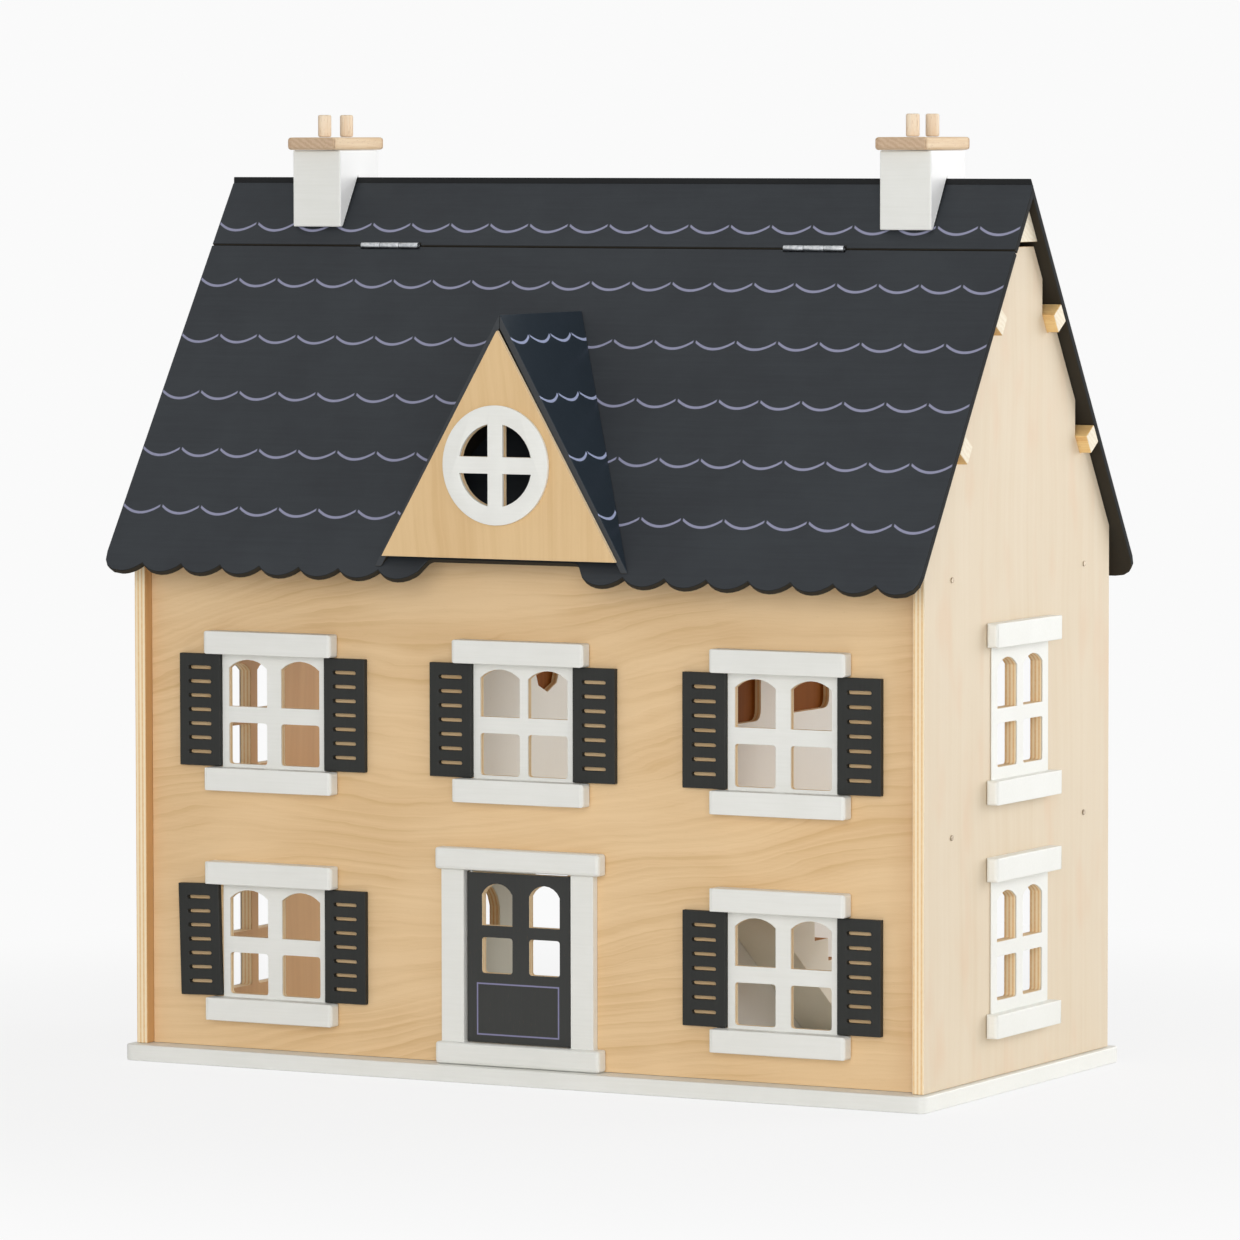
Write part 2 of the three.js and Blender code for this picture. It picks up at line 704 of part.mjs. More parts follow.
function ridgeBeam() {
  const base = gableTop + BEAM_LIFT;
  const frontZero = frontSlopeHeight(0, -ROOF_BOARD - FIT);
  const rearZero = rearSlopeHeight(0, -ROOF_BOARD - FIT);
  const apexY = (rearZero - frontZero) / (Math.tan(frontPitch) + Math.tan(PITCH));
  const apexZ = frontZero + apexY * Math.tan(frontPitch);
  const frontFoot = (base - frontZero) / Math.tan(frontPitch);
  const rearFoot = (rearZero - base) / Math.tan(PITCH);
  const outline = polygon([[frontFoot, base], [rearFoot, base], [apexY, apexZ]]);
  const half = halfWidth + BEAM_STICKOUT;
  return sidePlate(outline, -half, half);
}

piece(dollhouse, 'ridge_beam', ridgeBeam(), finishes.beech);

// Roof boards --------------------------------------------------------------------------------------

/** Cutter for the plumb cut along the ridge, in world coordinates; side is -1 front, 1 rear. */
function ridgePlumbCut(side) {
  const near = side > 0 ? 0 : -FIT;
  const far = near - side * REACH;
  return block(
    2 * roofLeft, 2 * frontRight, Math.min(near, far), Math.max(near, far), ridge - REACH, ridge + REACH,
  );
}

/** A cutter given in world coordinates, moved into a slope group's own frame. */
function inSlope(geometry, group) {
  return geometry.applyMatrix4(group.matrix.clone().invert());
}

function rearRoof() {
  const left = -rearRight;
  const right = -roofLeft;
  const shape = new THREE.Shape();
  shape.moveTo(left, 0);
  shape.lineTo(left, EAVE_CORNER - REAR_SLOPE);
  shape.quadraticCurveTo(left, -REAR_SLOPE, left + EAVE_CORNER, -REAR_SLOPE);
  shape.lineTo(right - EAVE_CORNER, -REAR_SLOPE);
  shape.quadraticCurveTo(right, -REAR_SLOPE, right, EAVE_CORNER - REAR_SLOPE);
  shape.lineTo(right, 0);
  const board = extrude(shape, ROOF_BOARD);
  board.translate(0, 0, -ROOF_BOARD);
  return cut(board, inSlope(ridgePlumbCut(1), rearSlope));
}

const hingeCentres = [
  { name: 'left', x: -hingeOffset },
  { name: 'right', x: hingeOffset },
];
const hingeRelief = BARREL_RADIUS + HINGE_SHEET / 2; // half height of the relief around a barrel

/** Cutter for the reliefs around the hinge barrels, in the frame of the front slope. */
function hingeReliefs() {
  const reliefs = [];
  for (const hinge of hingeCentres) {
    const half = HINGE_LENGTH / 2 + HINGE_SHEET;
    reliefs.push(block(
      hinge.x - half, hinge.x + half, -hingeSlope - hingeRelief, -hingeSlope + hingeRelief,
      -ROOF_BOARD - REACH, REACH,
    ));
  }
  return reliefs;
}

function roofStrip() {
  const board = block(roofLeft, frontRight, -STRIP_SLOPE, 0, -ROOF_BOARD, 0);
  return cut(board, inSlope(ridgePlumbCut(-1), frontSlope), ...hingeReliefs());
}

/** Outline of the finger notch: wide at the lobes, narrower at its ceiling, with eased corners. */
function fingerNotch() {
  const foot = NOTCH_WIDTH / 2;
  const top = foot - NOTCH_LEAN;
  const ceiling = NOTCH_DEPTH - FRONT_SLOPE;
  const ease = NOTCH_CORNER * NOTCH_LEAN / NOTCH_DEPTH;
  const shape = new THREE.Shape();
  shape.moveTo(frontCentre - foot, -FRONT_SLOPE - REACH);
  shape.lineTo(frontCentre + foot, -FRONT_SLOPE - REACH);
  shape.lineTo(frontCentre + foot, -FRONT_SLOPE);
  shape.lineTo(frontCentre + top + ease, ceiling - NOTCH_CORNER);
  shape.quadraticCurveTo(frontCentre + top, ceiling, frontCentre + top - NOTCH_CORNER, ceiling);
  shape.lineTo(frontCentre - top + NOTCH_CORNER, ceiling);
  shape.quadraticCurveTo(frontCentre - top, ceiling, frontCentre - top - ease, ceiling - NOTCH_CORNER);
  shape.lineTo(frontCentre - foot, -FRONT_SLOPE);
  return shape;
}

/** The hatch: a board with a row of round lobes along the eave and a finger notch in the middle. */
function roofHatch() {
  const pitch = (frontRight - roofLeft) / LOBES;
  const half = pitch / 2;
  const cusp = LOBE_DEPTH - FRONT_SLOPE;
  const radius = (half * half + LOBE_DEPTH * LOBE_DEPTH) / (2 * LOBE_DEPTH);
  const sweep = Math.asin(half / radius);
  const centreLine = radius - FRONT_SLOPE;
  const shape = new THREE.Shape();
  shape.moveTo(frontRight, -hatchTop);
  shape.lineTo(roofLeft, -hatchTop);
  shape.lineTo(roofLeft, half - FRONT_SLOPE);
  shape.quadraticCurveTo(roofLeft, -FRONT_SLOPE, roofLeft + half, -FRONT_SLOPE);
  shape.absarc(roofLeft + half, centreLine, radius, -Math.PI / 2, sweep - Math.PI / 2, false);
  for (let lobe = 1; lobe < LOBES - 1; lobe += 1) {
    const middle = roofLeft + (lobe + 0.5) * pitch;
    shape.absarc(middle, centreLine, radius, -Math.PI / 2 - sweep, sweep - Math.PI / 2, false);
  }
  shape.lineTo(frontRight - pitch, cusp);
  shape.absarc(frontRight - half, centreLine, radius, -Math.PI / 2 - sweep, -Math.PI / 2, false);
  shape.quadraticCurveTo(frontRight, -FRONT_SLOPE, frontRight, half - FRONT_SLOPE);
  const board = extrude(shape, ROOF_BOARD);
  board.translate(0, 0, -ROOF_BOARD);

  const notch = extrude(fingerNotch(), ROOF_BOARD + 2 * REACH);
  notch.translate(0, 0, -ROOF_BOARD - REACH);
  return cut(board, notch, ...hingeReliefs());
}

piece(rearSlope, 'rear_roof', rearRoof(), finishes.roofPaint);
piece(frontSlope, 'roof_strip', roofStrip(), finishes.roofPaint);
piece(frontSlope, 'roof_hatch', roofHatch(), finishes.roofPaint);

// Hatch hinges ---------------------------------------------------------------------------------------
// Each leaf is a sheet bent under its board. The fixed leaf has the outer knuckles, the moving leaf
// has the middle one, and a pin runs through all three. Drawn about the pin's axis.

/** Knuckle ranges along x: two outer ones and one in the middle. */
function knuckleRanges() {
  const half = HINGE_LENGTH / 2;
  const third = HINGE_LENGTH / 3;
  const middle = [-third / 2 + KNUCKLE_GAP / 2, third / 2 - KNUCKLE_GAP / 2];
  const outer = [[-half, -third / 2 - KNUCKLE_GAP / 2], [third / 2 + KNUCKLE_GAP / 2, half]];
  return { middle, outer };
}

/** A leaf on the side (1 is up-slope) with its own knuckles; the others get room to turn. */
function hingeLeaf(side, own, others) {
  const half = HINGE_LENGTH / 2;
  const inner = side * (BARREL_RADIUS - HINGE_SHEET);
  const outer = side * BARREL_RADIUS;
  const tip = side * (BARREL_RADIUS - HINGE_SHEET + HINGE_LEAF);
  const underside = -BARREL_PROUD - ROOF_BOARD - FIT;
  const web = block(
    -half, half, Math.min(inner, outer), Math.max(inner, outer), underside - HINGE_SHEET, 0,
  );
  const flange = block(
    -half, half, Math.min(inner, tip), Math.max(inner, tip), underside - HINGE_SHEET, underside,
  );
  const knuckles = own.map(([left, right]) => rodAcross(BARREL_RADIUS, left, right));
  const room = others.map(([left, right]) => (
    rodAcross(BARREL_RADIUS + FIT, left - KNUCKLE_GAP, right + KNUCKLE_GAP)
  ));
  const bore = rodAcross(PIN_RADIUS + FIT, -half - REACH, half + REACH);
  const leaf = cut(join(web, flange), ...room);
  return cut(join(leaf, ...knuckles), bore);
}

const knuckles = knuckleRanges();
for (const hinge of hingeCentres) {
  const axle = new THREE.Group();
  axle.position.set(hinge.x, -hingeSlope, BARREL_PROUD);
  frontSlope.add(axle);
  const half = HINGE_LENGTH / 2;
  const fixed = hingeLeaf(1, knuckles.outer, [knuckles.middle]);
  const moving = hingeLeaf(-1, [knuckles.middle], knuckles.outer);
  piece(axle, `hinge_leaf_fixed_${hinge.name}`, fixed, finishes.steel);
  piece(axle, `hinge_leaf_moving_${hinge.name}`, moving, finishes.steel);
  piece(axle, `hinge_pin_${hinge.name}`, rodAcross(PIN_RADIUS, -half, half), finishes.steel);
}

// Dormer: two triangular roof panels on the hatch, a gable board on their ends, a round window -------

const dormer = new THREE.Group();
dormer.position.x = frontCentre;
dollhouse.add(dormer);

const dormerRidge = frontApex - DORMER_RIDGE_DROP;
const dormerFront = -halfDepth - DORMER_FRONT;
const dormerBack = (dormerRidge - frontApex) / Math.tan(frontPitch);
const dormerAngle = Math.atan(DORMER_SLOPE);

/** Everything under the outside of the front slope, less the glue line. */
function underFrontSlope() {
  const length = 2 * FRONT_SLOPE;
  const slab = block(-HOUSE_WIDTH, HOUSE_WIDTH, -length, length, -length, FIT);
  return slab.applyMatrix4(frontSlope.matrix);
}

function dormerPanel(side) {
  const width = ROOF_BOARD / Math.cos(dormerAngle);
  const foot = frontApex + dormerFront * Math.tan(frontPitch) - REACH;
  const reach = DORMER_SLOPE * (dormerRidge - foot);
  const seam = FIT / 2;
  const outline = polygon([
    [side * seam, dormerRidge - seam / DORMER_SLOPE],
    [side * reach, foot],
    [side * (reach - width), foot],
    [side * seam, dormerRidge - (seam + width) / DORMER_SLOPE],
  ]);
  const panel = frontPlate(outline, dormerFront, dormerBack + DORMER_BACK_MARGIN);
  return cut(panel, underFrontSlope());
}

const boardBack = dormerFront - FIT;
const boardFront = boardBack - DORMER_BOARD;
const boardTip = dormerRidge - DORMER_BOARD_DROP;
const boardBottom = frontSlopeHeight(boardBack, 0) + DORMER_BOARD_FOOT;
const boardHalf = DORMER_BOARD_SPLAY * (boardTip - boardBottom);
const roundWindowZ = boardBottom + ROUND_WINDOW_RISE;

/** The four quarter openings that leave a cross in a round window. */
function quarterOpenings() {
  const shapes = [];
  const bar = ROUND_WINDOW_BAR / 2;
  const start = Math.asin(bar / ROUND_WINDOW_OPENING);
  for (let quarter = 0; quarter < 4; quarter += 1) {
    const turn = quarter * Math.PI / 2;
    const corner = new THREE.Vector2(bar, bar).rotateAround(new THREE.Vector2(), turn);
    const shape = new THREE.Shape();
    shape.moveTo(corner.x, roundWindowZ + corner.y);
    shape.absarc(0, roundWindowZ, ROUND_WINDOW_OPENING, turn + start, turn + Math.PI / 2 - start, false);
    shape.lineTo(corner.x, roundWindowZ + corner.y);
    shapes.push(shape);
  }
  return shapes;
}

function dormerGable() {
  const outline = polygon([
    [-boardHalf, boardBottom], [boardHalf, boardBottom], [0, boardTip],
  ]);
  outline.holes.push(...quarterOpenings());
  return frontPlate(outline, boardFront, boardBack);
}

function dormerWindow() {
  const ring = new THREE.Shape();
  const turn = 2 * Math.PI / ROUND_WINDOW_ARCS;
  for (let arc = 0; arc < ROUND_WINDOW_ARCS; arc += 1) {
    ring.absarc(0, roundWindowZ, ROUND_WINDOW_RADIUS, arc * turn, (arc + 1) * turn, false);
  }
  ring.holes.push(...quarterOpenings());
  return frontPlate(ring, boardFront - FIT - ROUND_WINDOW_THICKNESS, boardFront - FIT);
}

piece(dormer, 'dormer_roof_left', dormerPanel(-1), finishes.roofPaint);
piece(dormer, 'dormer_roof_right', dormerPanel(1), finishes.roofPaint);
piece(dormer, 'dormer_gable', dormerGable(), finishes.frontPly);
piece(dormer, 'dormer_window', dormerWindow(), finishes.whitePaint);

// Chimneys: a stack cut to sit astride the ridge, a cap and two dowel pots -----------------------------

const stackTop = ridge + CHIMNEY_TOP;
const capBottom = stackTop + FIT;
const capTop = capBottom + CAP_THICKNESS;
const stackFront = CHIMNEY_SET - CHIMNEY_DEPTH / 2;
const stackRear = CHIMNEY_SET + CHIMNEY_DEPTH / 2;

function chimneyStack() {
  const foot = ridge - CHIMNEY_FOOT;
  const frontFoot = (foot - frontSlopeHeight(0, FIT)) / Math.tan(frontPitch);
  const rearFoot = (rearSlopeHeight(0, FIT) - foot) / Math.tan(PITCH);
  const outline = polygon([
    [stackFront, stackTop],
    [stackFront, foot],
    [frontFoot, foot],
    [0, rearSlopeHeight(0, FIT)],
    [rearFoot, foot],
    [stackRear, foot],
    [stackRear, stackTop],
  ].reverse());
  return sidePlate(outline, -CHIMNEY_WIDTH / 2, CHIMNEY_WIDTH / 2);
}

function chimneyCap() {
  const x = CHIMNEY_WIDTH / 2;
  const shape = roundedRectangle(-x, x, stackFront - CAP_OVERHANG, stackRear + CAP_OVERHANG, CAP_CORNER);
  const cap = extrude(shape, CAP_THICKNESS);
  cap.translate(0, 0, capBottom);
  return cap;
}

for (const [name, side] of [['left', -1], ['right', 1]]) {
  const chimney = new THREE.Group();
  chimney.position.x = side * chimneyOffset + CHIMNEY_SHIFT;
  dollhouse.add(chimney);
  piece(chimney, `chimney_stack_${name}`, chimneyStack(), finishes.whitePaint);
  piece(chimney, `chimney_cap_${name}`, chimneyCap(), finishes.beech);
  for (const [place, shift] of [['front', -1], ['rear', 1]]) {
    const pot = rodUp(POT_RADIUS, capTop + FIT, capTop + FIT + POT_HEIGHT);
    const mesh = piece(chimney, `chimney_pot_${name}_${place}`, pot, finishes.beech);
    mesh.position.y = CHIMNEY_SET + shift * POT_SPACING / 2;
  }
}

// Front windows: header, sill and a thin white frame in one piece, with a shutter on either side -------

const trimBack = wallFace - FIT;

/** A header and sill joined by a thin frame, seen from the front; centred at x = 0. */
function windowSurround(panes, stile, sillTop, sillLength, sillHeight, sillDepth) {
  const half = paneHalf(panes) + stile;
  const headerBottom = sillTop + paneSpan(panes);
  const outline = polygon([
    [-half, sillTop - TRIM_LAP], [half, sillTop - TRIM_LAP],
    [half, headerBottom + TRIM_LAP], [-half, headerBottom + TRIM_LAP],
  ]);
  outline.holes.push(...fourPanes(0, sillTop, panes));
  const frame = frontPlate(outline, -FRAME_SHEET, 0);
  const sill = block(-sillLength / 2, sillLength / 2, -sillDepth, 0, sillTop - sillHeight, sillTop);
  const header = block(
    -sillLength / 2, sillLength / 2, -sillDepth, 0, headerBottom, headerBottom + sillHeight,
  );
  return join(frame, sill, header);
}

/** One round-ended slot of a shutter at a level above its middle. */
function slotOutline(level) {
  const radius = SLOT_HEIGHT / 2;
  const straight = SLOT_LENGTH / 2 - radius;
  const points = [];
  for (const end of [1, -1]) {
    for (let step = 0; step <= SLOT_END_STEPS; step += 1) {
      const angle = (step / SLOT_END_STEPS - 0.5) * Math.PI;
      points.push([end * (straight + radius * Math.cos(angle)), level + end * radius * Math.sin(angle)]);
    }
  }
  return polygon(points);
}

/** A shutter about its own middle, with a column of rounded slots. */
function shutter(height) {
  const outline = polygon([
    [-SHUTTER_WIDTH / 2, -height / 2], [SHUTTER_WIDTH / 2, -height / 2],
    [SHUTTER_WIDTH / 2, height / 2], [-SHUTTER_WIDTH / 2, height / 2],
  ]);
  for (let slot = 0; slot < SHUTTER_SLOTS; slot += 1) {
    outline.holes.push(slotOutline((slot - (SHUTTER_SLOTS - 1) / 2) * SLOT_PITCH));
  }
  return frontPlate(outline, -SHUTTER_THICKNESS, 0);
}

for (const light of frontWindows) {
  const span = paneSpan(light.panes);
  const surround = windowSurround(
    light.panes, FRAME_STILE, light.sillTop, SILL_LENGTH, SILL_HEIGHT, SILL_DEPTH,
  );
  const frame = piece(dollhouse, `window_${light.name}`, surround, finishes.whitePaint);
  frame.position.set(light.centre, trimBack, 0);
  for (const [place, side] of [['left', -1], ['right', 1]]) {
    const skewed = `${light.name}_${place}` === skewedShutter;
    const inner = paneHalf(light.panes) + FRAME_STILE + FIT;
    const play = skewed ? Math.sin(SKEW_SHUTTER) * span / 2 : 0;
    const height = span - 2 * SHUTTER_PLAY;
    const name = `shutter_${light.name}_${place}`;
    const mesh = piece(dollhouse, name, shutter(height), finishes.shutterPaint);
    mesh.position.set(
      light.centre + side * (inner + play + SHUTTER_WIDTH / 2), trimBack, light.sillTop + span / 2,
    );
    mesh.rotation.y = skewed ? -SKEW_SHUTTER : 0;
  }
}

// Side windows -------------------------------------------------------------------------------------------

for (const [place, side, drop] of [['left', -1, LEFT_WINDOW_DROP], ['right', 1, 0]]) {
  for (const light of sideWindows) {
    const surround = windowSurround(
      SIDE_PANES, SIDE_FRAME_STILE, light.sillTop - drop, SIDE_SILL_LENGTH, SIDE_SILL_HEIGHT, SIDE_SILL_DEPTH,
    );
    const mesh = piece(dollhouse, `window_side_${place}_${light.name}`, surround, finishes.whitePaint);
    mesh.position.x = side * (halfWidth + FIT);
    mesh.rotation.z = side * Math.PI / 2;
  }
}

// Front door: a white surround on the wall, and a leaf that turns on a rod -------------------------------

function doorSurround() {
  const left = DOOR_SHIFT + DOOR_TRIM_SHIFT - DOOR_TRIM_LENGTH / 2;
  const right = left + DOOR_TRIM_LENGTH;
  const trimFront = trimBack - DOOR_TRIM_DEPTH;
  const threshold = block(left, right, trimFront, trimBack, baseTop + FIT, thresholdTop);
  const header = block(left, right, trimFront, trimBack, doorHead, doorHead + DOOR_TRIM_HEIGHT);
  const jambs = [
    [doorwayLeft - JAMB_WIDTH, doorwayLeft],
    [doorwayRight, doorwayRight + JAMB_WIDTH],
  ].map(([jambLeft, jambRight]) => (
    block(jambLeft, jambRight, trimBack - JAMB_DEPTH, trimBack, thresholdTop - TRIM_LAP, doorHead + TRIM_LAP)
  ));
  const rodHole = rodUp(
    DOOR_ROD_RADIUS + FIT, thresholdTop - DOOR_ROD_GRIP - FIT, doorHead + DOOR_ROD_GRIP + FIT,
  );
  rodHole.translate(doorRodX, doorRodY, 0);
  return cut(join(threshold, header, ...jambs), rodHole);
}

/** The leaf, with its hinge edge rounded about the rod. */
function doorLeaf() {
  const back = doorFront + DOOR_THICKNESS;
  const plan = new THREE.Shape();
  plan.moveTo(doorRight, doorFront);
  plan.lineTo(doorRight, back);
  plan.lineTo(doorRodX, back);
  plan.quadraticCurveTo(doorLeft, back, doorLeft, doorRodY);
  plan.quadraticCurveTo(doorLeft, doorFront, doorRodX, doorFront);
  const board = extrude(plan, DOOR_HEIGHT);
  board.translate(0, 0, doorBottom);

  const bore = rodUp(DOOR_ROD_RADIUS + FIT, doorBottom - REACH, doorTop + REACH);
  bore.translate(doorRodX, doorRodY, 0);
  const panes = fourPanes(DOOR_SHIFT + DOOR_PANE_SHIFT, doorBottom, DOOR_PANES).map((pane) => (
    frontPlate(pane, doorFront - REACH, back + REACH)
  ));
  return cut(board, bore, ...panes);
}

function doorRod() {
  const rod = rodUp(DOOR_ROD_RADIUS, thresholdTop - DOOR_ROD_GRIP, doorHead + DOOR_ROD_GRIP);
  rod.translate(doorRodX, doorRodY, 0);
  return rod;
}

piece(dollhouse, 'door_surround', doorSurround(), finishes.whitePaint);
piece(dollhouse, 'door_leaf', doorLeaf(), finishes.shutterPaint);
piece(dollhouse, 'door_rod', doorRod(), finishes.steel);

export default dollhouse;
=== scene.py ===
# %% [markdown]
# # Dressing a wooden dollhouse
#
# The imported model gives every board, batten, hinge and shutter in its place. This lesson eases
# their edges, adds the screws and paints everything. We start by loading the frame, whose parts'
# boxes the rounded pieces keep to.

import json
import math
from collections import namedtuple

import bmesh
import bpy
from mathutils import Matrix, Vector


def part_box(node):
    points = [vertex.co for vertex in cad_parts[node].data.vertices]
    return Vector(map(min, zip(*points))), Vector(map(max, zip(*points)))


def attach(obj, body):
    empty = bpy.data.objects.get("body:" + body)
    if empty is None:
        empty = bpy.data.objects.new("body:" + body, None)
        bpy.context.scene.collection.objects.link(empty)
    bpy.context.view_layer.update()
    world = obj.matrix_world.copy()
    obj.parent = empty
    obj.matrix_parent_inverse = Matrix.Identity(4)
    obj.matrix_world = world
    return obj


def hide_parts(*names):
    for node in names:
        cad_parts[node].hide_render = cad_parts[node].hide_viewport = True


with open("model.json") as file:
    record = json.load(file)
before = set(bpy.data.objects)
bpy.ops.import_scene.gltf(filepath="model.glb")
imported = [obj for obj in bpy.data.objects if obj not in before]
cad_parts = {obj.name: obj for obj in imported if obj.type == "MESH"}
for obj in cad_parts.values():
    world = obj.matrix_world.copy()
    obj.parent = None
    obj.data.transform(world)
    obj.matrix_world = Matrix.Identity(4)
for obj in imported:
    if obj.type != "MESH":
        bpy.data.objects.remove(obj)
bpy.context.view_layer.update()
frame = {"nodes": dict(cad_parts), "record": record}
nodes = frame["nodes"]
MM = 0.001
X, Y, Z = 0, 1, 2

# %% [markdown]
# ## The camera
#
# A dollhouse looks like a building when its upright lines stay upright, so it is seen from far
# away through a long lens and from only a little above. A wide lens close by would splay the
# walls.

# %% Camera
LENS_LENGTH = 214.75  # millimetres
CAMERA_PLACE = (2.57898, -4.80856, 0.69114)  # metres
CAMERA_TURN = (86.192, 0.080, 28.204)  # degrees about x, y and z

lens = bpy.data.cameras.new("camera")
lens.lens = LENS_LENGTH
camera = bpy.data.objects.new("camera", lens)
camera.location = CAMERA_PLACE
camera.rotation_euler = [math.radians(turn) for turn in CAMERA_TURN]
bpy.context.scene.collection.objects.link(camera)
bpy.context.scene.camera = camera
bpy.context.scene.view_settings.view_transform = "Standard"
print(f"camera {camera.location.length:.2f} m from the middle of the house's foot")

# %% [markdown]
# ## Sockets that add and multiply
#
# A wood grain is a sum of waves and noises. Built node by node it is hard to read, so one small
# class wraps a socket and lets Python's own operators add the Math nodes. One method makes any
# other node from its type, its settings and its sockets.


# %% Shader values and finishes
def in_linear(red, green, blue):
    """A colour as it looks on a screen, 0 to 255, turned into the light that a shader mixes."""
    return tuple(pow((level / 255 + 0.055) / 1.055, 2.4) for level in (red, green, blue)) + (1.0,)


class Value:
    """A shader socket that Python can do sums with."""

    def __init__(self, shader, socket):
        self.shader = shader
        self.socket = socket

    def _math(self, operation, *values):
        return self.shader.node("ShaderNodeMath", {"operation": operation}, dict(enumerate(values)))

    def __add__(self, other):
        return self._math("ADD", self, other)

    def __radd__(self, other):
        return self._math("ADD", other, self)

    def __sub__(self, other):
        return self._math("SUBTRACT", self, other)

    def __rsub__(self, other):
        return self._math("SUBTRACT", other, self)

    def __mul__(self, other):
        return self._math("MULTIPLY", self, other)

    def __rmul__(self, other):
        return self._math("MULTIPLY", other, self)

    def __truediv__(self, other):
        return self._math("DIVIDE", self, other)

    def __abs__(self):
        return self._math("ABSOLUTE", self)

    def fraction(self):
        """What is left after the whole number is taken away."""
        return self._math("FRACT", self)

    def wave(self):
        return self._math("SINE", self)

    def larger(self, other):
        return self._math("MAXIMUM", self, other)

    def rises(self, low, high):
        """0 below low, 1 above high and a smooth step between them."""
        return self.shader.node(
            "ShaderNodeMapRange", {"interpolation_type": "SMOOTHSTEP"}, {0: self, 1: low, 2: high}
        )


class Shader:
    """A node tree that is built up one value at a time."""

    def __init__(self, tree):
        self.tree = tree
        self.tree.nodes.clear()

    def node(self, kind, settings=None, inputs=None, output=0):
        made = self.tree.nodes.new(kind)
        for setting, value in (settings or {}).items():
            setattr(made, setting, value)
        for key, value in (inputs or {}).items():
            if isinstance(value, Value):
                self.tree.links.new(value.socket, made.inputs[key])
            else:
                made.inputs[key].default_value = value
        return Value(self, made.outputs[output]) if len(made.outputs) else None


class Finish(Shader):
    """A material with a shader of its own."""

    def __init__(self, name):
        self.material = bpy.data.materials.new(name)
        self.material.use_nodes = True
        super().__init__(self.material.node_tree)

    def along(self, axis, vector):
        return self.node("ShaderNodeSeparateXYZ", inputs={0: vector}, output=axis)

    def place(self):
        """Where a point is on the object, in millimetres: across, deep and up."""
        point = self.node("ShaderNodeTexCoord", output="Object")
        return [self.along(axis, point) * 1000 for axis in (X, Y, Z)]

    def facing(self, axis):
        """How far a face looks along an axis, either way: 1 straight on, 0 edge on."""
        return abs(self.looking(axis))

    def looking(self, axis):
        """Which way a face looks along an axis: 1 towards its high end, -1 towards its low end."""
        return self.along(axis, self.node("ShaderNodeTexCoord", output="Normal"))

    def point(self, x, y, z):
        return self.node("ShaderNodeCombineXYZ", inputs={0: x, 1: y, 2: z})

    def noise(self, where, scale, detail=3.0, roughness=0.5):
        """Soft blotches, from about 0.2 to 0.8; scale is blotches per unit of where."""
        inputs = {"Vector": where, "Scale": scale, "Detail": detail, "Roughness": roughness}
        return self.node("ShaderNodeTexNoise", {"noise_dimensions": "3D"}, inputs)

    def mix(self, amount, first, second):
        """A colour between two others; sockets 6 and 7 of the node take them and 2 gives it."""
        inputs = {"Factor": amount, 6: first, 7: second}
        return self.node("ShaderNodeMix", {"data_type": "RGBA"}, inputs, output=2)

    def bump(self, height, distance, strength):
        inputs = {"Height": height, "Distance": distance, "Strength": strength}
        return self.node("ShaderNodeBump", inputs=inputs)

    def done(self, colour, roughness, normal=None, **constants):
        inputs = {"Base Color": colour, "Roughness": roughness}
        if normal is not None:
            inputs["Normal"] = normal
        for name, value in constants.items():
            inputs[name.replace("_", " ")] = value
        surface = self.node("ShaderNodeBsdfPrincipled", inputs=inputs)
        self.node("ShaderNodeOutputMaterial", inputs={"Surface": surface})
        return self.material


print("values add, multiply and mix")

# %% [markdown]
# ## Studio light, floor and background
#
# Three large soft lamps light the house. The one behind it, off to the right, lights the gable
# wall and the rooms, through the open back. A much weaker one on the right adds to the gable
# wall, a low one in front reaches under the eave, and the pale world fills the rest. The
# background is paper white only to the camera and in reflections, so that it doesn't flood the
# house. The floor keeps a soft shadow near the house and fades to the same white farther out.

# %% World
PAPER_WHITE = (0.957, 0.957, 0.957, 1)
AMBIENT = 0.55


def seen_directly(shader):
    """1 where a ray comes straight from the camera, off something shiny or through glass."""
    camera_ray, glossy_ray, glass_ray = [
        shader.node("ShaderNodeLightPath", output=f"Is {kind} Ray")
        for kind in ("Camera", "Glossy", "Transmission")
    ]
    return camera_ray.larger(glossy_ray).larger(glass_ray)


def light_world():
    world = bpy.data.worlds.new("studio")
    bpy.context.scene.world = world
    world.use_nodes = True
    air = Shader(world.node_tree)
    light = air.node("ShaderNodeBackground", inputs={"Strength": AMBIENT})
    shown = air.node("ShaderNodeBackground", inputs={"Color": PAPER_WHITE})
    chosen = air.node("ShaderNodeMixShader", inputs={0: seen_directly(air), 1: light, 2: shown})
    air.node("ShaderNodeOutputWorld", inputs={"Surface": chosen})


light_world()
print(f"world at {AMBIENT}")


# %% Lamps
HOUSE_MIDDLE = Vector((0, 0, 0.33))


def softbox(name, place, size, power):
    """A square lamp of size metres and power watts that looks at the middle of the house."""
    lamp = bpy.data.lights.new(name, "AREA")
    lamp.shape = "SQUARE"
    lamp.size = size
    lamp.energy = power
    holder = bpy.data.objects.new(name, lamp)
    holder.location = place
    towards = HOUSE_MIDDLE - Vector(place)
    holder.rotation_euler = towards.to_track_quat("-Z", "Y").to_euler()
    bpy.context.scene.collection.objects.link(holder)
    return holder


lamps = [
    softbox("key", (6.1, -1.7, 1.9), 4.0, 48),
    softbox("rear", (3.6, 4.9, 1.4), 4.5, 255),
    softbox("front_fill", (2.2, -5.9, 0.8), 4.5, 262),
]
print(f"{len(lamps)} softboxes")


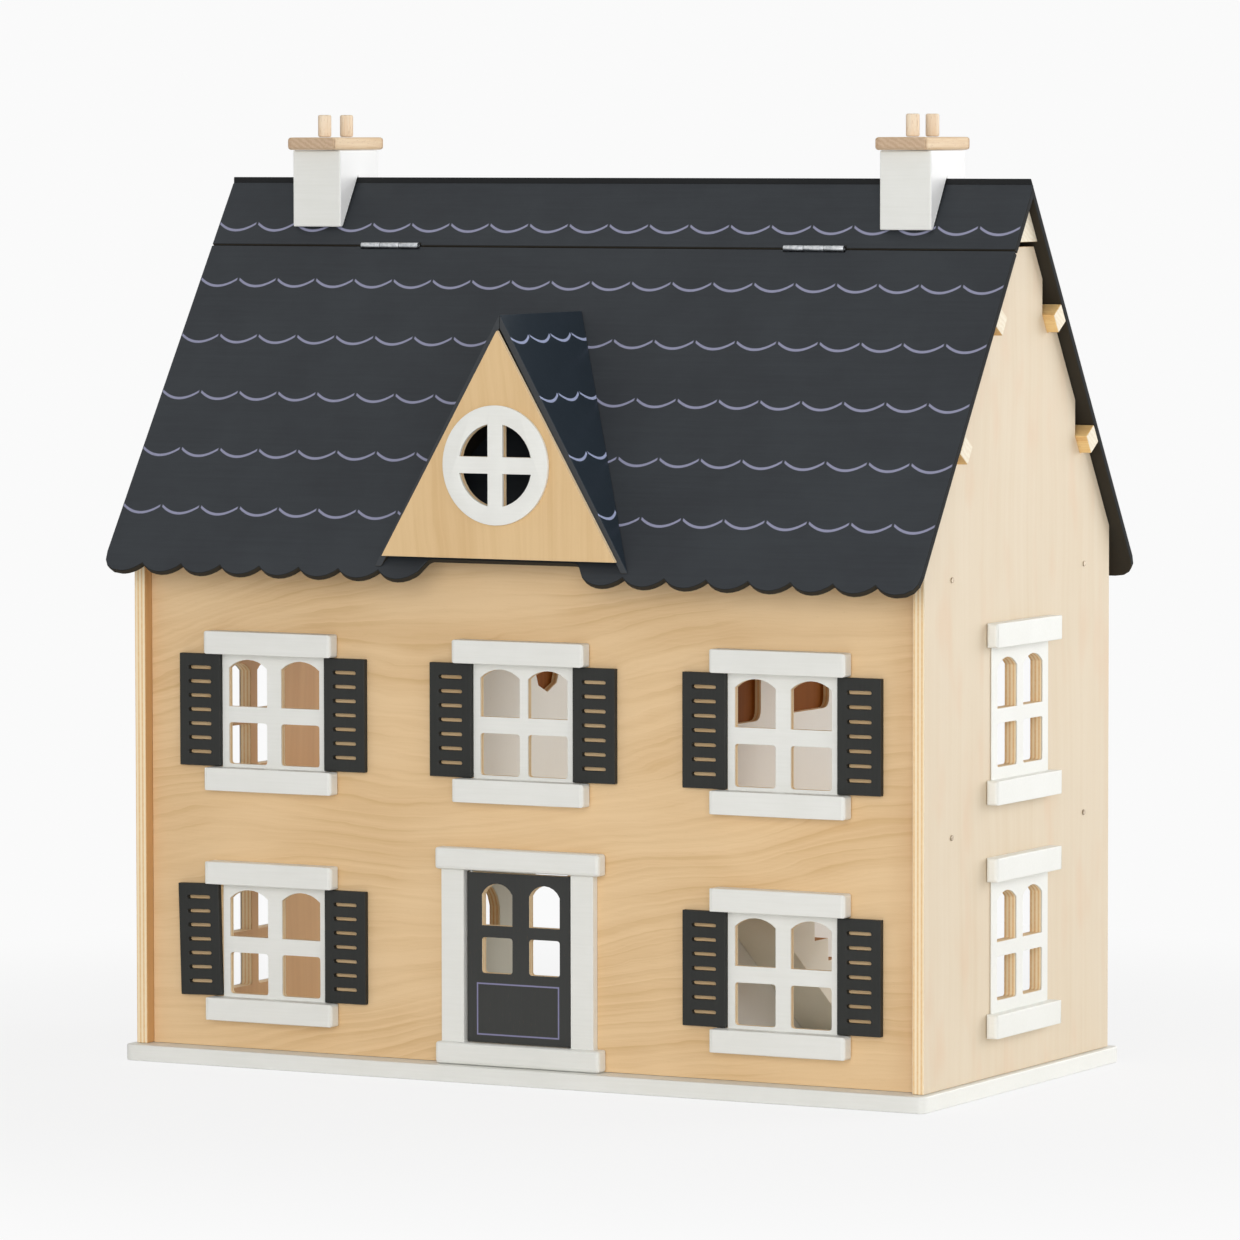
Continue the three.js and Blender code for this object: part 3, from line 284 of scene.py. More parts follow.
# %% Floor
NEAR_FLOOR = 380.0  # millimetres from the middle of the house, where the floor starts to fade
FAR_FLOOR = 1000.0
FLOOR_SIZE = 60  # metres
FLOOR_DROP = 0.0004  # metres below the house, so that the two faces never share a place
FLOOR_CARD = (0.9, 0.9, 0.9, 1)
PALENESS = 0.87  # share of the floor's colour next to the house that no shadow darkens


def studio_floor():
    bpy.ops.object.select_all(action="DESELECT")
    bpy.ops.mesh.primitive_plane_add(size=FLOOR_SIZE, location=(0, 0, -FLOOR_DROP))
    floor = bpy.context.object
    floor.name = "floor"
    paint = Finish("floor")
    x, y, _ = paint.place()
    fade = (x * x + y * y).rises(NEAR_FLOOR ** 2, FAR_FLOOR ** 2) * (1 - PALENESS) + PALENESS
    card = paint.node("ShaderNodeBsdfDiffuse", inputs={"Color": FLOOR_CARD})
    white = paint.node("ShaderNodeEmission", inputs={"Color": PAPER_WHITE})
    faded = paint.node("ShaderNodeMixShader", inputs={0: fade, 1: card, 2: white})
    shown = paint.node("ShaderNodeMixShader", inputs={0: seen_directly(paint), 1: card, 2: faded})
    paint.node("ShaderNodeOutputMaterial", inputs={"Surface": shown})
    floor.data.materials.append(paint.material)
    return floor


studio_floor()
print("floor laid")

# %% [markdown]
# ## Birch plywood
#
# The house is cut from birch plywood. Its faces are peeled off the log in one long sheet, so
# growth rings show as slow waves and loops. Its edges show the layers, cream and tan in turn. A
# flat picture of wood would smear down the cut edges, so the grain is made from noise at every
# point in space. A face that looks along the board's thickness gets grain, any other gets layers.

# %% Plywood
LAYER = 1.5  # millimetres in each layer of veneer
EDGE_LIGHT = in_linear(250, 230, 194)
EDGE_DARK = in_linear(234, 194, 140)
PORE_BROWN = in_linear(150, 110, 70)
GRAIN_HEIGHT = 0.00005  # metres


class Plywood(Finish):
    """Plywood whose thickness runs along one axis and whose grain runs along another."""

    def __init__(self, name, through, along):
        super().__init__(name)
        self.axes = self.place()
        self.length = self.axes[along]
        self.depth = self.axes[through]
        self.width = self.axes[3 - along - through]
        self.on_face = self.facing(through).rises(0.45, 0.75)
        self.fibres = self.blotches((26, 0.9, 20), 3.0, 0.6)
        self.cloud = self.blotches((130, 60, 60), 2.0, 0.5)
        self.relief = self.fibres

    def blotches(self, sizes, detail, roughness=0.5):
        """Noise with blotches of so many millimetres along the grain, across it and in depth."""
        length, width, depth = sizes
        where = self.point(self.length / length, self.width / width, self.depth / depth)
        return self.noise(where, 1.0, detail, roughness)

    def grain(self, ring_gap, sway, lean=0.0, rings=0.35, streaks=0.9, clouds=0.7):
        """How dark the face's grain is, 0 to 1; lean tilts the rings across the board."""
        drift = self.blotches((300, 150, 60), 1.0, 0.4)
        lively = self.blotches((80, 26, 60), 3.0, 0.55)
        straight = self.width - self.length * lean
        level = straight + (drift - 0.5) * (sway * 4) + (lively - 0.5) * (sway * 0.45)
        saw = (level / ring_gap).fraction()
        shown = self.cloud.rises(0.4, 0.62)
        drawn_out = self.point(self.length / 600, level / 5.5, self.depth / 60)
        streak = self.noise(drawn_out, 1.0, 3.0, 0.6)
        rings_drawn = saw * saw * saw * (1 - saw.rises(0.94, 1.0)) * shown
        self.relief = self.fibres * 0.7 + rings_drawn * 0.3
        total = rings_drawn * rings + (streak - 0.5) * streaks + (self.cloud - 0.5) * clouds
        return (total + (self.fibres - 0.5) * 0.3 + 0.35).rises(0.0, 1.0)

    def layers(self):
        """The colour of a cut edge."""
        layer = (self.depth / (2 * LAYER)).fraction()
        turn = layer.rises(0.44, 0.54) - layer.rises(0.92, 1.0)
        speckle = self.noise(self.point(*[axis / 2.5 for axis in self.axes]), 1.0, 3.0)
        shade = (turn * 0.75 + (speckle - 0.5) * 0.6).rises(0.0, 1.0)
        return self.mix(shade, EDGE_LIGHT, EDGE_DARK)

    def board(self, face, edge=None, sheen=0.4):
        """The material: face on the flat sides, and edge, or bare layers, on the cut ones."""
        pores = self.blotches((5, 0.45, 5), 1.0)
        face = self.mix(pores.rises(0.68, 0.78) * 0.1, face, PORE_BROWN)
        colour = self.mix(self.on_face, edge or self.layers(), face)
        rough = 0.6 - (self.fibres - 0.5) * 0.2
        relief = self.bump(self.relief, GRAIN_HEIGHT, 0.45)
        return self.done(colour, rough, relief, Specular_IOR_Level=sheen)


# %% Plywood panels
# The front's darkening by its right end is a painted shade, in the corner where it meets the right
# gable.
DARK_FROM, DARK_TO = 285, 318  # millimetres across, where the front darkens towards its right end
DOOR_SIDE = 6  # millimetres of opening beside and over the door leaf, whose cut edges get a dark painted shade
DOOR_HEAD = 4


def front_panel():
    wood = Plywood("front_ply", Y, X)
    grain = wood.grain(10.0, 26.0, lean=0.16)
    warm = wood.mix(grain, in_linear(235, 203, 158), in_linear(213, 176, 126))
    x, _, z = wood.axes
    patches = wood.noise(wood.point(x / 30, 0, z / 70), 1.0, 2.0).rises(0.2, 0.7)
    # Painted shade in patches, towards the corner with the right gable.
    gable_corner_shade = x.rises(DARK_FROM, DARK_TO) * patches
    face = wood.mix(gable_corner_shade * 0.3, warm, in_linear(196, 148, 92))
    low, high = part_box("door_leaf")
    half = (high.x - low.x) / 2 / MM + DOOR_SIDE
    beside = abs(x - (low.x + high.x) / 2 / MM).rises(half, half + 1)
    above = z.rises(high.z / MM + DOOR_HEAD, high.z / MM + DOOR_HEAD + 1)
    # Near the door the opening's cut edges are dark: painted shade in the gap around the leaf.
    away = beside.larger(above)
    return wood.board(face, wood.mix(away, in_linear(40, 38, 36), wood.layers()))


def gable_panel():
    """Upright grain, pale outside; inside it is warmer and darker, a painted shade with warm
    bounced light.
    """
    wood = Plywood("gable_ply", X, Z)
    amount = wood.grain(22.0, 12.0, rings=0.12, streaks=0.7, clouds=0.5)
    outside = wood.mix(amount, in_linear(222, 207, 183), in_linear(214, 194, 164))
    blush = wood.noise(wood.point(wood.length / 90, wood.width / 34, 0), 1.0, 2.0).rises(0.5, 0.75)
    outside = wood.mix(blush * 0.5, outside, in_linear(219, 190, 159))
    # Inside faces: darker, warmer plywood that paints the rooms' shade and the warm light bounced
    # in them.
    inside = wood.mix(amount, in_linear(212, 166, 112), in_linear(194, 146, 92))
    outward = (wood.axes[X] * wood.looking(X)).rises(-1, 1)
    return wood.board(wood.mix(outward, inside, outside))


def plain_panel(name, through, along, pale, deep):
    wood = Plywood(name, through, along)
    return wood.board(wood.mix(wood.grain(14.0, 16.0, rings=0.2), pale, deep))


front_ply = front_panel()
gable_ply = gable_panel()
dormer_ply = plain_panel("dormer_ply", Y, Z, in_linear(226, 194, 146), in_linear(212, 176, 126))
floor_ply = plain_panel("floor_ply", Z, X, in_linear(232, 212, 182), in_linear(216, 190, 154))
print("plywood for the front, gables, dormer and floors")

# %% [markdown]
# ## Paint
#
# The paint is thin, so the wood below still shows as a faint ripple. White trim gets a soft,
# slightly warm white. The roof, shutters and door are charcoal. The stacks stand against the dark
# roof, which would leave their sides grey in shade, so those sides get a painted highlight: a paler
# white, palest low down.

# %% Paints
WHITE = in_linear(236, 236, 231), in_linear(230, 230, 224)


def painted(name, tones, roughness, ripple_axis=X, sheen=0.35, sides=None):
    """Thin paint over wood; sides gives a colour to the faces that look along X, if it differs, as
    a painted highlight.
    """
    paint = Finish(name)
    axes = paint.place()
    length = axes[ripple_axis]
    others = [axes[axis] for axis in (X, Y, Z) if axis != ripple_axis]
    stretched = paint.point(length / 40, others[0] / 1.6, others[1] / 1.6)
    ripple = paint.noise(stretched, 1.0, 3.0, 0.55)
    cloud = paint.noise(paint.point(*[axis / 45 for axis in axes]), 1.0, 3.0, 0.6)
    orange_peel = paint.noise(paint.point(*axes), 0.9, 2.0)
    shade = ((ripple - 0.5) * 0.7 + (cloud - 0.5) * 0.9 + 0.5).rises(0.1, 0.9)
    tone = paint.mix(shade, *tones)
    if sides:
        tone = paint.mix(paint.facing(X).rises(0.6, 0.8), tone, sides(paint, axes[Z]))
    relief = ripple * 0.5 + orange_peel * 0.3
    rough = roughness + (cloud - 0.5) * 0.12
    relief = paint.bump(relief, GRAIN_HEIGHT, 0.45)
    return paint.done(tone, rough, relief, Specular_IOR_Level=sheen)


def stack_sides_painted_highlight(paint, z):
    """Painted highlight: paler low down, where the dark roof lies close and would shade the sides.
    """
    _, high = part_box("chimney_stack_left")
    upper = z.rises(high.z / MM - 34, high.z / MM - 8)
    return paint.mix(upper, in_linear(255, 255, 254), in_linear(238, 238, 237))


white_paint = painted("white_paint", WHITE, 0.45)
# The stacks' sides get a painted highlight, palest low down by the roof.
stack_paint_and_painted_highlight = painted("stack_paint_and_painted_highlight", WHITE, 0.45, sides=stack_sides_painted_highlight)
shutter_tones = in_linear(44, 45, 43), in_linear(37, 38, 36)
shutter_paint = painted("shutter_paint", shutter_tones, 0.5, Z, sheen=0.25)
print("white for the trim and stacks, charcoal for the shutters")

# %% [markdown]
# ## Printed tiles
#
# Curved tile lines are printed on the roof. In each column a line hangs between two points like a
# slack string, so a parabola gives its height, and a point is on the line where its own height is
# nearly that. A mesh of thin curves could do the same, but print has no thickness.

# %% Tile lines
LILAC = in_linear(148, 149, 174)
UNDERSIDE = in_linear(52, 47, 38)
BOARD_EDGE = in_linear(34, 35, 36)
LINE_HALF = 1.05  # half a line's width
LINE_SOFT = 0.35  # and how far its edge fades to each side
TILE_RELIEF = 0.00007  # metres
Tiles = namedtuple("Tiles", "width height drop last")  # millimetres; drop is how far a line hangs


def tile_lines(across, down, tiles):
    """1 on the printed lines; down is measured from the ends of the first row's lines."""
    column = abs((across / tiles.width).fraction() - 0.5)
    row = ((down + tiles.drop) / tiles.height).fraction() * tiles.height - tiles.drop
    hang = (1 - column * column * 4) * tiles.drop
    near = 1 - abs(row - hang).rises(LINE_HALF - LINE_SOFT, LINE_HALF + LINE_SOFT)
    joined = 1 - column.rises(0.455, 0.485)
    return near * joined


def roof_finish(name, tones, lines, roughness, tiles, across, down, edge=BOARD_EDGE):
    """Charcoal paint with tile lines; across and down turn a place into distances on the slope."""
    paint = Finish(name)
    x, y, z = paint.place()
    cloud = paint.noise(paint.point(x / 60, y / 60, z / 60), 1.0, 4.0, 0.6)
    brushed = paint.noise(paint.point(x / 60, y / 2.0, z / 2.0), 1.0, 3.0, 0.6)
    shade = ((cloud - 0.5) * 1.2 + (brushed - 0.5) * 0.7 + 0.5).rises(0.1, 0.9)
    tone = paint.mix(shade, *tones)
    distance = down(x, y, z)
    line = tile_lines(across(x, y, z), distance, tiles)
    upward = paint.looking(Z)
    outside = upward.rises(0.25, 0.35)
    below_first = distance.rises(-tiles.drop, -tiles.drop + 0.1)
    above_last = 1 - distance.rises(tiles.last - 0.1, tiles.last)
    line = line * below_first * above_last * outside
    tone = paint.mix(upward.rises(-0.35, -0.25), UNDERSIDE, paint.mix(outside, edge, tone))
    tone = paint.mix(line, tone, lines)
    relief = brushed * 0.6 + cloud * 0.2 - line * 0.6
    rough = roughness + (cloud - 0.5) * 0.15 + (1 - outside) * 0.4
    return paint.done(tone, rough, paint.bump(relief, TILE_RELIEF, 0.6), Specular_IOR_Level=0.2)


print(f"tile lines {2 * LINE_HALF:.1f} mm wide")

# %% Roof slopes
FRONT_PITCH = math.radians(56.0)
REAR_PITCH = math.radians(57.44)
strip_low, strip_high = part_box("roof_strip")
_, rear_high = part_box("rear_roof")
front_apex = strip_high.z / MM + abs(strip_high.y / MM) * math.tan(FRONT_PITCH)
rear_apex = rear_high.z / MM
FIRST_ROW = 36.8  # from the apex down the slope to the first row's line ends
ROWS = 6
TILE_HEIGHT = 49.8
ROOF_TILES = Tiles(33.4, TILE_HEIGHT, 7.0, (ROWS - 0.4) * TILE_HEIGHT)
CHARCOAL = in_linear(53, 57, 61), in_linear(47, 50, 54)


def front_across(x, y, z):
    return x - strip_low.x / MM


def front_down(x, y, z):
    return (front_apex - z) * math.sin(FRONT_PITCH) - y * math.cos(FRONT_PITCH) - FIRST_ROW


def rear_down(x, y, z):
    return (rear_apex - z) * math.sin(REAR_PITCH) + y * math.cos(REAR_PITCH) - FIRST_ROW


front_roof_paint = roof_finish(
    "front_roof_paint", CHARCOAL, LILAC, 0.5, ROOF_TILES, front_across, front_down
)
rear_roof_paint = roof_finish(
    "rear_roof_paint", CHARCOAL, LILAC, 0.5, ROOF_TILES, front_across, rear_down
)
print(f"front apex {front_apex:.1f} mm, rear apex {rear_apex:.1f} mm")

# %% Dormer slopes
dormer_low, dormer_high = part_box("dormer_roof_right")
dormer_ridge = dormer_high.z / MM
dormer_front = dormer_low.y / MM
DORMER_RUN = 0.567  # run over rise of the dormer's roof panels
DORMER_FIRST_ROW = 17.4
DORMER_TILE_SHIFT = 3.1
DORMER_TILES = Tiles(31.2, 47.7, 6.0, 180.0)


def dormer_across(x, y, z):
    return y - dormer_front + DORMER_TILE_SHIFT


def dormer_down(x, y, z):
    return (dormer_ridge - z) * math.hypot(1, DORMER_RUN) - DORMER_FIRST_ROW


# The dormer panels' bluer charcoal and paler tile lines are a painted reflection: the bluish sheen
# of their glossy paint.
dormer_paint_and_painted_reflection = roof_finish(
    "dormer_paint_and_painted_reflection", (in_linear(46, 56, 65), in_linear(41, 50, 59)), in_linear(188, 198, 234), 0.32,
    DORMER_TILES, dormer_across, dormer_down, in_linear(64, 67, 70),
)
print(f"dormer ridge {dormer_ridge:.1f} mm")

# %% [markdown]
# ## Beech and steel
#
# Battens, chimney caps and pots are solid beech: even, pinkish and full of short dark flecks. Its
# ends show the growth rings as faint arcs. The hinges are bright plated steel, and the screws are
# duller.


# %% Beech
FLECK_BROWN = in_linear(170, 124, 84)


def beech(name, along, sides, ends):
    """Solid wood with its grain along one axis; sides and ends are a pale and a deep tone."""
    wood = Finish(name)
    axes = wood.place()
    length = axes[along]
    first, second = [axes[axis] for axis in (X, Y, Z) if axis != along]
    rings = wood.noise(wood.point(length / 90, first / 6, second / 6), 1.0, 3.0, 0.6)
    fibres = wood.noise(wood.point(length / 18, first / 0.7, second / 0.7), 1.0, 3.0, 0.6)
    flecks = wood.noise(wood.point(length / 4.5, first / 0.5, second / 0.5), 1.0, 1.0)
    shade = ((rings - 0.5) * 1.4 + (fibres - 0.5) * 0.8 + 0.5).rises(0.1, 0.9)
    side = wood.mix(flecks.rises(0.64, 0.72) * 0.4, wood.mix(shade, *sides), FLECK_BROWN)
    arcs = (first * 0.9 + second * 1.5 + rings * 8).wave() * 0.5 + 0.5
    dots = wood.noise(wood.point(*axes), 1.4, 2.0)
    end = wood.mix((arcs * 0.5 + (dots - 0.5) * 1.2 + 0.25).rises(0.1, 0.9), *ends)
    colour = wood.mix(wood.facing(along).rises(0.6, 0.8), side, end)
    relief = wood.bump(fibres, GRAIN_HEIGHT, 0.45)
    return wood.done(colour, 0.58 - (fibres - 0.5) * 0.15, relief, Specular_IOR_Level=0.4)


batten_beech = beech(
    "batten_beech", X,
    (in_linear(238, 204, 142), in_linear(220, 174, 110)),
    (in_linear(238, 228, 206), in_linear(228, 214, 188)),
)
cap_beech = beech(
    "cap_beech", Y,
    (in_linear(230, 205, 170), in_linear(214, 180, 138)),
    (in_linear(206, 179, 150), in_linear(192, 162, 132)),
)
pot_beech = beech(
    "pot_beech", Z,
    (in_linear(250, 234, 210), in_linear(238, 212, 180)),
    (in_linear(240, 222, 192), in_linear(222, 198, 162)),
)
print("beech for battens, caps and pots")


# %% Steel
ROLLED_HEIGHT = 0.00003  # metres


def metal_finish(name, bright, tarnished, roughness):
    metal = Finish(name)
    x, y, z = metal.place()
    rolled = metal.noise(metal.point(x / 6, y / 0.4, z / 0.4), 1.0, 3.0)
    dull = metal.noise(metal.point(x, y, z), 0.35, 3.0)
    colour = metal.mix(dull.rises(0.3, 0.7), bright, tarnished)
    relief = metal.bump(rolled, ROLLED_HEIGHT, 0.5)
    return metal.done(colour, roughness + rolled * 0.2, relief, Metallic=1.0)


steel = metal_finish("plated_steel", in_linear(214, 216, 218), in_linear(176, 180, 184), 0.24)
screw_steel = metal_finish("screw_steel", in_linear(176, 164, 146), in_linear(140, 126, 108), 0.4)
print("steel for hinges and screws")

# %% [markdown]
# ## Rooms, stair and door
#
# The partitions and the stair are painted on their faces only, so a cut edge stays raw wood. The
# bare wood shows in the partitions' recesses too, which lie deeper than the painted faces; its deep
# brown also paints the shade in the recesses. The door is painted on its outer edges as well, and
# only the edges of its panes are bare. The paint's places come from the imported boxes, so it
# follows the boards.

# %% Rooms
PAINT_DEPTH = 0.7  # millimetres below a face where its paint has ended
ROOM_SHEEN = 0.04  # the rooms' paint is dead flat
ROOM_WHITE = in_linear(250, 249, 244), in_linear(246, 244, 238)
ROOM_GREY = in_linear(216, 213, 200), in_linear(206, 202, 188)


def box_mm(node):
    """A node's lowest and highest corners in millimetres."""
    low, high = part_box(node)
    return low / MM, high / MM


def partition_paint(node, tones):
    wood = Plywood(f"paint_{node}", X, Z)
    low, high = box_mm(node)
    matt = wood.mix((wood.cloud * 0.7 + wood.fibres * 0.3).rises(0.3, 0.7), *tones)
    # The recesses show bare wood, coloured a deep brown that also paints the shade in them.
    shaded_recess_wood = wood.mix(wood.grain(12.0, 12.0), in_linear(138, 80, 26), in_linear(116, 64, 18))
    x = wood.axes[X]
    right = x.rises(high.x - PAINT_DEPTH - 0.2, high.x - PAINT_DEPTH)
    left = x.rises(low.x + PAINT_DEPTH, low.x + PAINT_DEPTH + 0.2)
    return wood.board(wood.mix(right + 1 - left, shaded_recess_wood, matt), sheen=ROOM_SHEEN)


def stair_finish():
    """Warm white sides, and bare treads and risers."""
    wood = Plywood("stair_finish", X, Y)
    white = in_linear(246, 240, 224), in_linear(238, 231, 213)
    side = wood.mix(wood.cloud.rises(0.35, 0.65), *white)
    tread = wood.mix(wood.grain(9.0, 8.0), in_linear(204, 152, 100), in_linear(176, 122, 74))
    below = 1 - wood.looking(Z).rises(-0.5, -0.3)
    return wood.board(side, wood.mix(below, tread, side), sheen=ROOM_SHEEN)


stair_ply = stair_finish()
print("stair painted, and the partitions' paint ready")


# %% Door
PANEL_LINE = 1.1  # millimetres across the painted outline
PANEL_MARGIN = 9.5
PANEL_FOOT = 6.0
PANEL_HEIGHT = 37.0
STILE_EDGE = 2.5  # millimetres from the leaf's sides within which its cut edges are painted


def door_paint():
    wood = Plywood("door_paint", Y, Z)
    x, _, z = wood.axes
    low, high = box_mm("door_leaf")
    charcoal = wood.mix(wood.cloud.rises(0.3, 0.7), in_linear(47, 48, 46), in_linear(41, 42, 40))
    half = (high.x - low.x) / 2
    from_middle = abs(x - (low.x + high.x) / 2)
    past_side = from_middle - (half - PANEL_MARGIN)
    past_rail = abs(z - (low.z + PANEL_FOOT + PANEL_HEIGHT / 2)) - PANEL_HEIGHT / 2
    past = past_side.larger(past_rail)
    on_line = 1 - abs(past).rises(PANEL_LINE / 2 - 0.15, PANEL_LINE / 2 + 0.15)
    front = 1 - wood.looking(Y).rises(-0.9, -0.7)
    face = wood.mix(on_line * front, charcoal, in_linear(130, 128, 160))
    at_side = from_middle.rises(half - STILE_EDGE, half - STILE_EDGE + 0.5)
    edge = wood.mix(at_side, wood.layers(), charcoal)
    return wood.board(face, edge)


door_finish = door_paint()
print("door painted, its pane edges left bare")

# %% [markdown]
# ## Sanded boards
#
# No real board has knife-sharp edges: sandpaper takes them off and the light catches there. A CAD
# node is left alone and copied. The copy's loose triangles are merged, its flat faces are
# dissolved into whole ones, and its sharp edges are rounded with the bevel operator, in edit
# mode. A face can't have a hole in it, so boards with openings are first cut through a row of
# them with straight, square cuts. Slanting edges left between holes would be dragged along by the
# bevel and leave slivers.

# %% Choosing edges
FLAT_ANGLE = math.radians(0.4)  # between two faces that count as one


def only(piece):
    """Selects one piece and nothing else, and makes it active."""
    bpy.ops.object.select_all(action="DESELECT")
    piece.select_set(True)
    bpy.context.view_layer.objects.active = piece


def choose_edges(piece, keep, sharpness=30):
    """In edit mode, selects the sharp edges whose middle and direction pass a test."""
    bpy.ops.mesh.select_mode(type="EDGE")
    bpy.ops.mesh.select_all(action="DESELECT")
    shape = bmesh.from_edit_mesh(piece.data)
    for edge in shape.edges:
        sharp = len(edge.link_faces) == 2 and edge.calc_face_angle(0) > math.radians(sharpness)
        if sharp:
            first, second = edge.verts[0].co, edge.verts[1].co
            edge.select = keep((first + second) / 2, (second - first).normalized())
    shape.select_flush(True)
    bmesh.update_edit_mesh(piece.data)


def all_of(middle, direction):
    return True


print("edges are chosen by place and direction")

# %% Copying and easing
MERGE_DISTANCE = 0.02 * MM
IN_CUT = 0.01 * MM
bodies = frame["record"]["behaviour"]["bodies"]
slot_of = {part["node"]: part["material_slot"] for part in frame["record"]["subparts"]}


def body_of(node):
    return next(name for name, members in bodies.items() if node in members)


def copied(node, name, cuts=()):
    """A merged copy of a node, cut at each (axis, place in metres) and ready to be worked on."""
    mesh = nodes[node].data.copy()
    piece = bpy.data.objects.new(name, mesh)
    bpy.context.scene.collection.objects.link(piece)
    only(piece)
    bpy.ops.mesh.customdata_custom_splitnormals_clear()
    bpy.ops.object.mode_set(mode="EDIT")
    bpy.ops.mesh.select_all(action="SELECT")
    bpy.ops.mesh.remove_doubles(threshold=MERGE_DISTANCE)
    bpy.ops.mesh.dissolve_limited(angle_limit=FLAT_ANGLE)
    for axis, place in cuts:
        across = Vector((0, 0, 0))
        across[axis] = 1
        bpy.ops.mesh.select_all(action="SELECT")
        bpy.ops.mesh.bisect(plane_co=across * place, plane_no=across)
    if cuts:
        dissolve_between(piece, cuts)
    bpy.ops.object.mode_set(mode="OBJECT")
    return piece


def dissolve_between(piece, cuts):
    """In edit mode, dissolves the flat edges that lie in none of the cuts."""
    bpy.ops.mesh.select_mode(type="EDGE")
    bpy.ops.mesh.select_all(action="DESELECT")
    shape = bmesh.from_edit_mesh(piece.data)
    for edge in shape.edges:
        flat = len(edge.link_faces) == 2 and edge.calc_face_angle(0) < FLAT_ANGLE
        in_cut = any(
            all(abs(corner.co[axis] - place) < IN_CUT for corner in edge.verts)
            for axis, place in cuts
        )
        edge.select = flat and not in_cut
    bmesh.update_edit_mesh(piece.data)
    bpy.ops.mesh.dissolve_edges(use_verts=True)


def round_edges(piece, radius, keep=all_of, segments=2, sharpness=30, clamp=True):
    only(piece)
    bpy.ops.object.mode_set(mode="EDIT")
    choose_edges(piece, keep, sharpness)
    bpy.ops.mesh.bevel(
        offset=radius * MM, segments=segments, profile=0.5, affect="EDGES",
        clamp_overlap=clamp, loop_slide=False,
    )
    bpy.ops.object.mode_set(mode="OBJECT")


def settle(piece, node, finish, smooth=False):
    """Gives a finished piece its finish and its node's body, and hides the node that it stands for.
    """
    piece.data.materials.clear()
    piece.data.materials.append(finish)
    if smooth:
        only(piece)
        bpy.ops.object.shade_smooth_by_angle(angle=math.radians(32))
    else:
        piece.data.shade_flat()
    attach(piece, body_of(node))
    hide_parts(node)
    return piece


def keep_inside(piece, node):
    """Brings back to the node's box any point that a wide rounding pushed past it."""
    low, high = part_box(node)
    for vertex in piece.data.vertices:
        vertex.co = [min(max(vertex.co[axis], low[axis]), high[axis]) for axis in (X, Y, Z)]


def sanded(node, finish, radius, smooth=False, first=(), segments=2, cuts=(), clamp=True):
    """Rounds the edges that pass each first test at its radius, and then the other sharp ones."""
    piece = copied(node, f"sanded_{node}", cuts)
    for test, larger in first:
        round_edges(piece, larger, test, segments=3)
    round_edges(piece, radius, segments=segments, sharpness=50 if first else 30, clamp=clamp)
    if not clamp:
        keep_inside(piece, node)
    return settle(piece, node, finish, smooth)


def middle(node, axis):
    low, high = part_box(node)
    return (low[axis] + high[axis]) / 2


PANE_COLUMN = 20 * MM  # from the middle of a window to a line down through its panes


def through_panes(node, axis):
    """The cuts down through a window's two columns of panes."""
    return [(axis, middle(node, axis) + side * PANE_COLUMN) for side in (-1, 1)]


print("ready to sand")

# %% [markdown]
# ## The shell
#
# The shell is boards glued and screwed together. Most of their edges are only just eased, but the
# base board is rounded more at its four upright corners, where hands meet it. Those are picked by
# their direction and rounded first, and the wider rounding makes room for the finer one.

# %% Shell
PARTITION_CUTS = [(Y, -60 * MM), (Y, 0), (Y, 80 * MM)]  # through the doorway and the recesses


def upright(middle, direction):
    return abs(direction.z) > 0.99


sanded("base_board", white_paint, 0.9, first=[(upright, 2.5)])
for side in ("left", "right"):
    sanded(f"{side}_wall", gable_ply, 0.5, cuts=through_panes(f"window_side_{side}_upper", Y))
upper_windows = [f"window_upper_{place}" for place in ("left", "middle", "right")]
pane_cuts = [cut for node in upper_windows for cut in through_panes(node, X)]
sanded("front_wall", front_ply, 0.35, cuts=pane_cuts)
sanded("middle_floor", floor_ply, 0.5)
sanded("attic_floor", floor_ply, 0.5)
for node, tones in (
    ("ground_partition_left", ROOM_GREY), ("ground_partition_right", ROOM_WHITE),
    ("upper_partition_left", ROOM_WHITE), ("upper_partition_right", ROOM_WHITE),
):
    sanded(node, partition_paint(node, tones), 0.6, cuts=PARTITION_CUTS)
sanded("stair_flight", stair_ply, 0.4)
print("shell sanded")

# %% [markdown]
# ## The roof
#
# Thin boards make the roof, and two small panels the dormer's. Their edges stay nearly square, as
# a thin board's do. The round window has a curved rim, so it is shaded smooth as well as eased.

# %% Roof
sanded("roof_strip", front_roof_paint, 0.7)
sanded("roof_hatch", front_roof_paint, 0.7)
sanded("rear_roof", rear_roof_paint, 0.7)
for side in ("left", "right"):
    sanded(f"dormer_roof_{side}", dormer_paint_and_painted_reflection, 0.6)
sanded("dormer_gable", dormer_ply, 0.4)
round_cuts = through_panes("dormer_window", X)
sanded("dormer_window", white_paint, 1.0, smooth=True, segments=3, cuts=round_cuts)
print("roof sanded")

# %% [markdown]
# ## Battens and chimneys
#
# The battens run the whole length of the house and show their ends past the gables. A chimney is
# a painted block under a beech cap with two short dowels. Caps and pots feel soft in the hand, so
# their edges get a wide rounding, and what it pushes past the node's box is brought back.

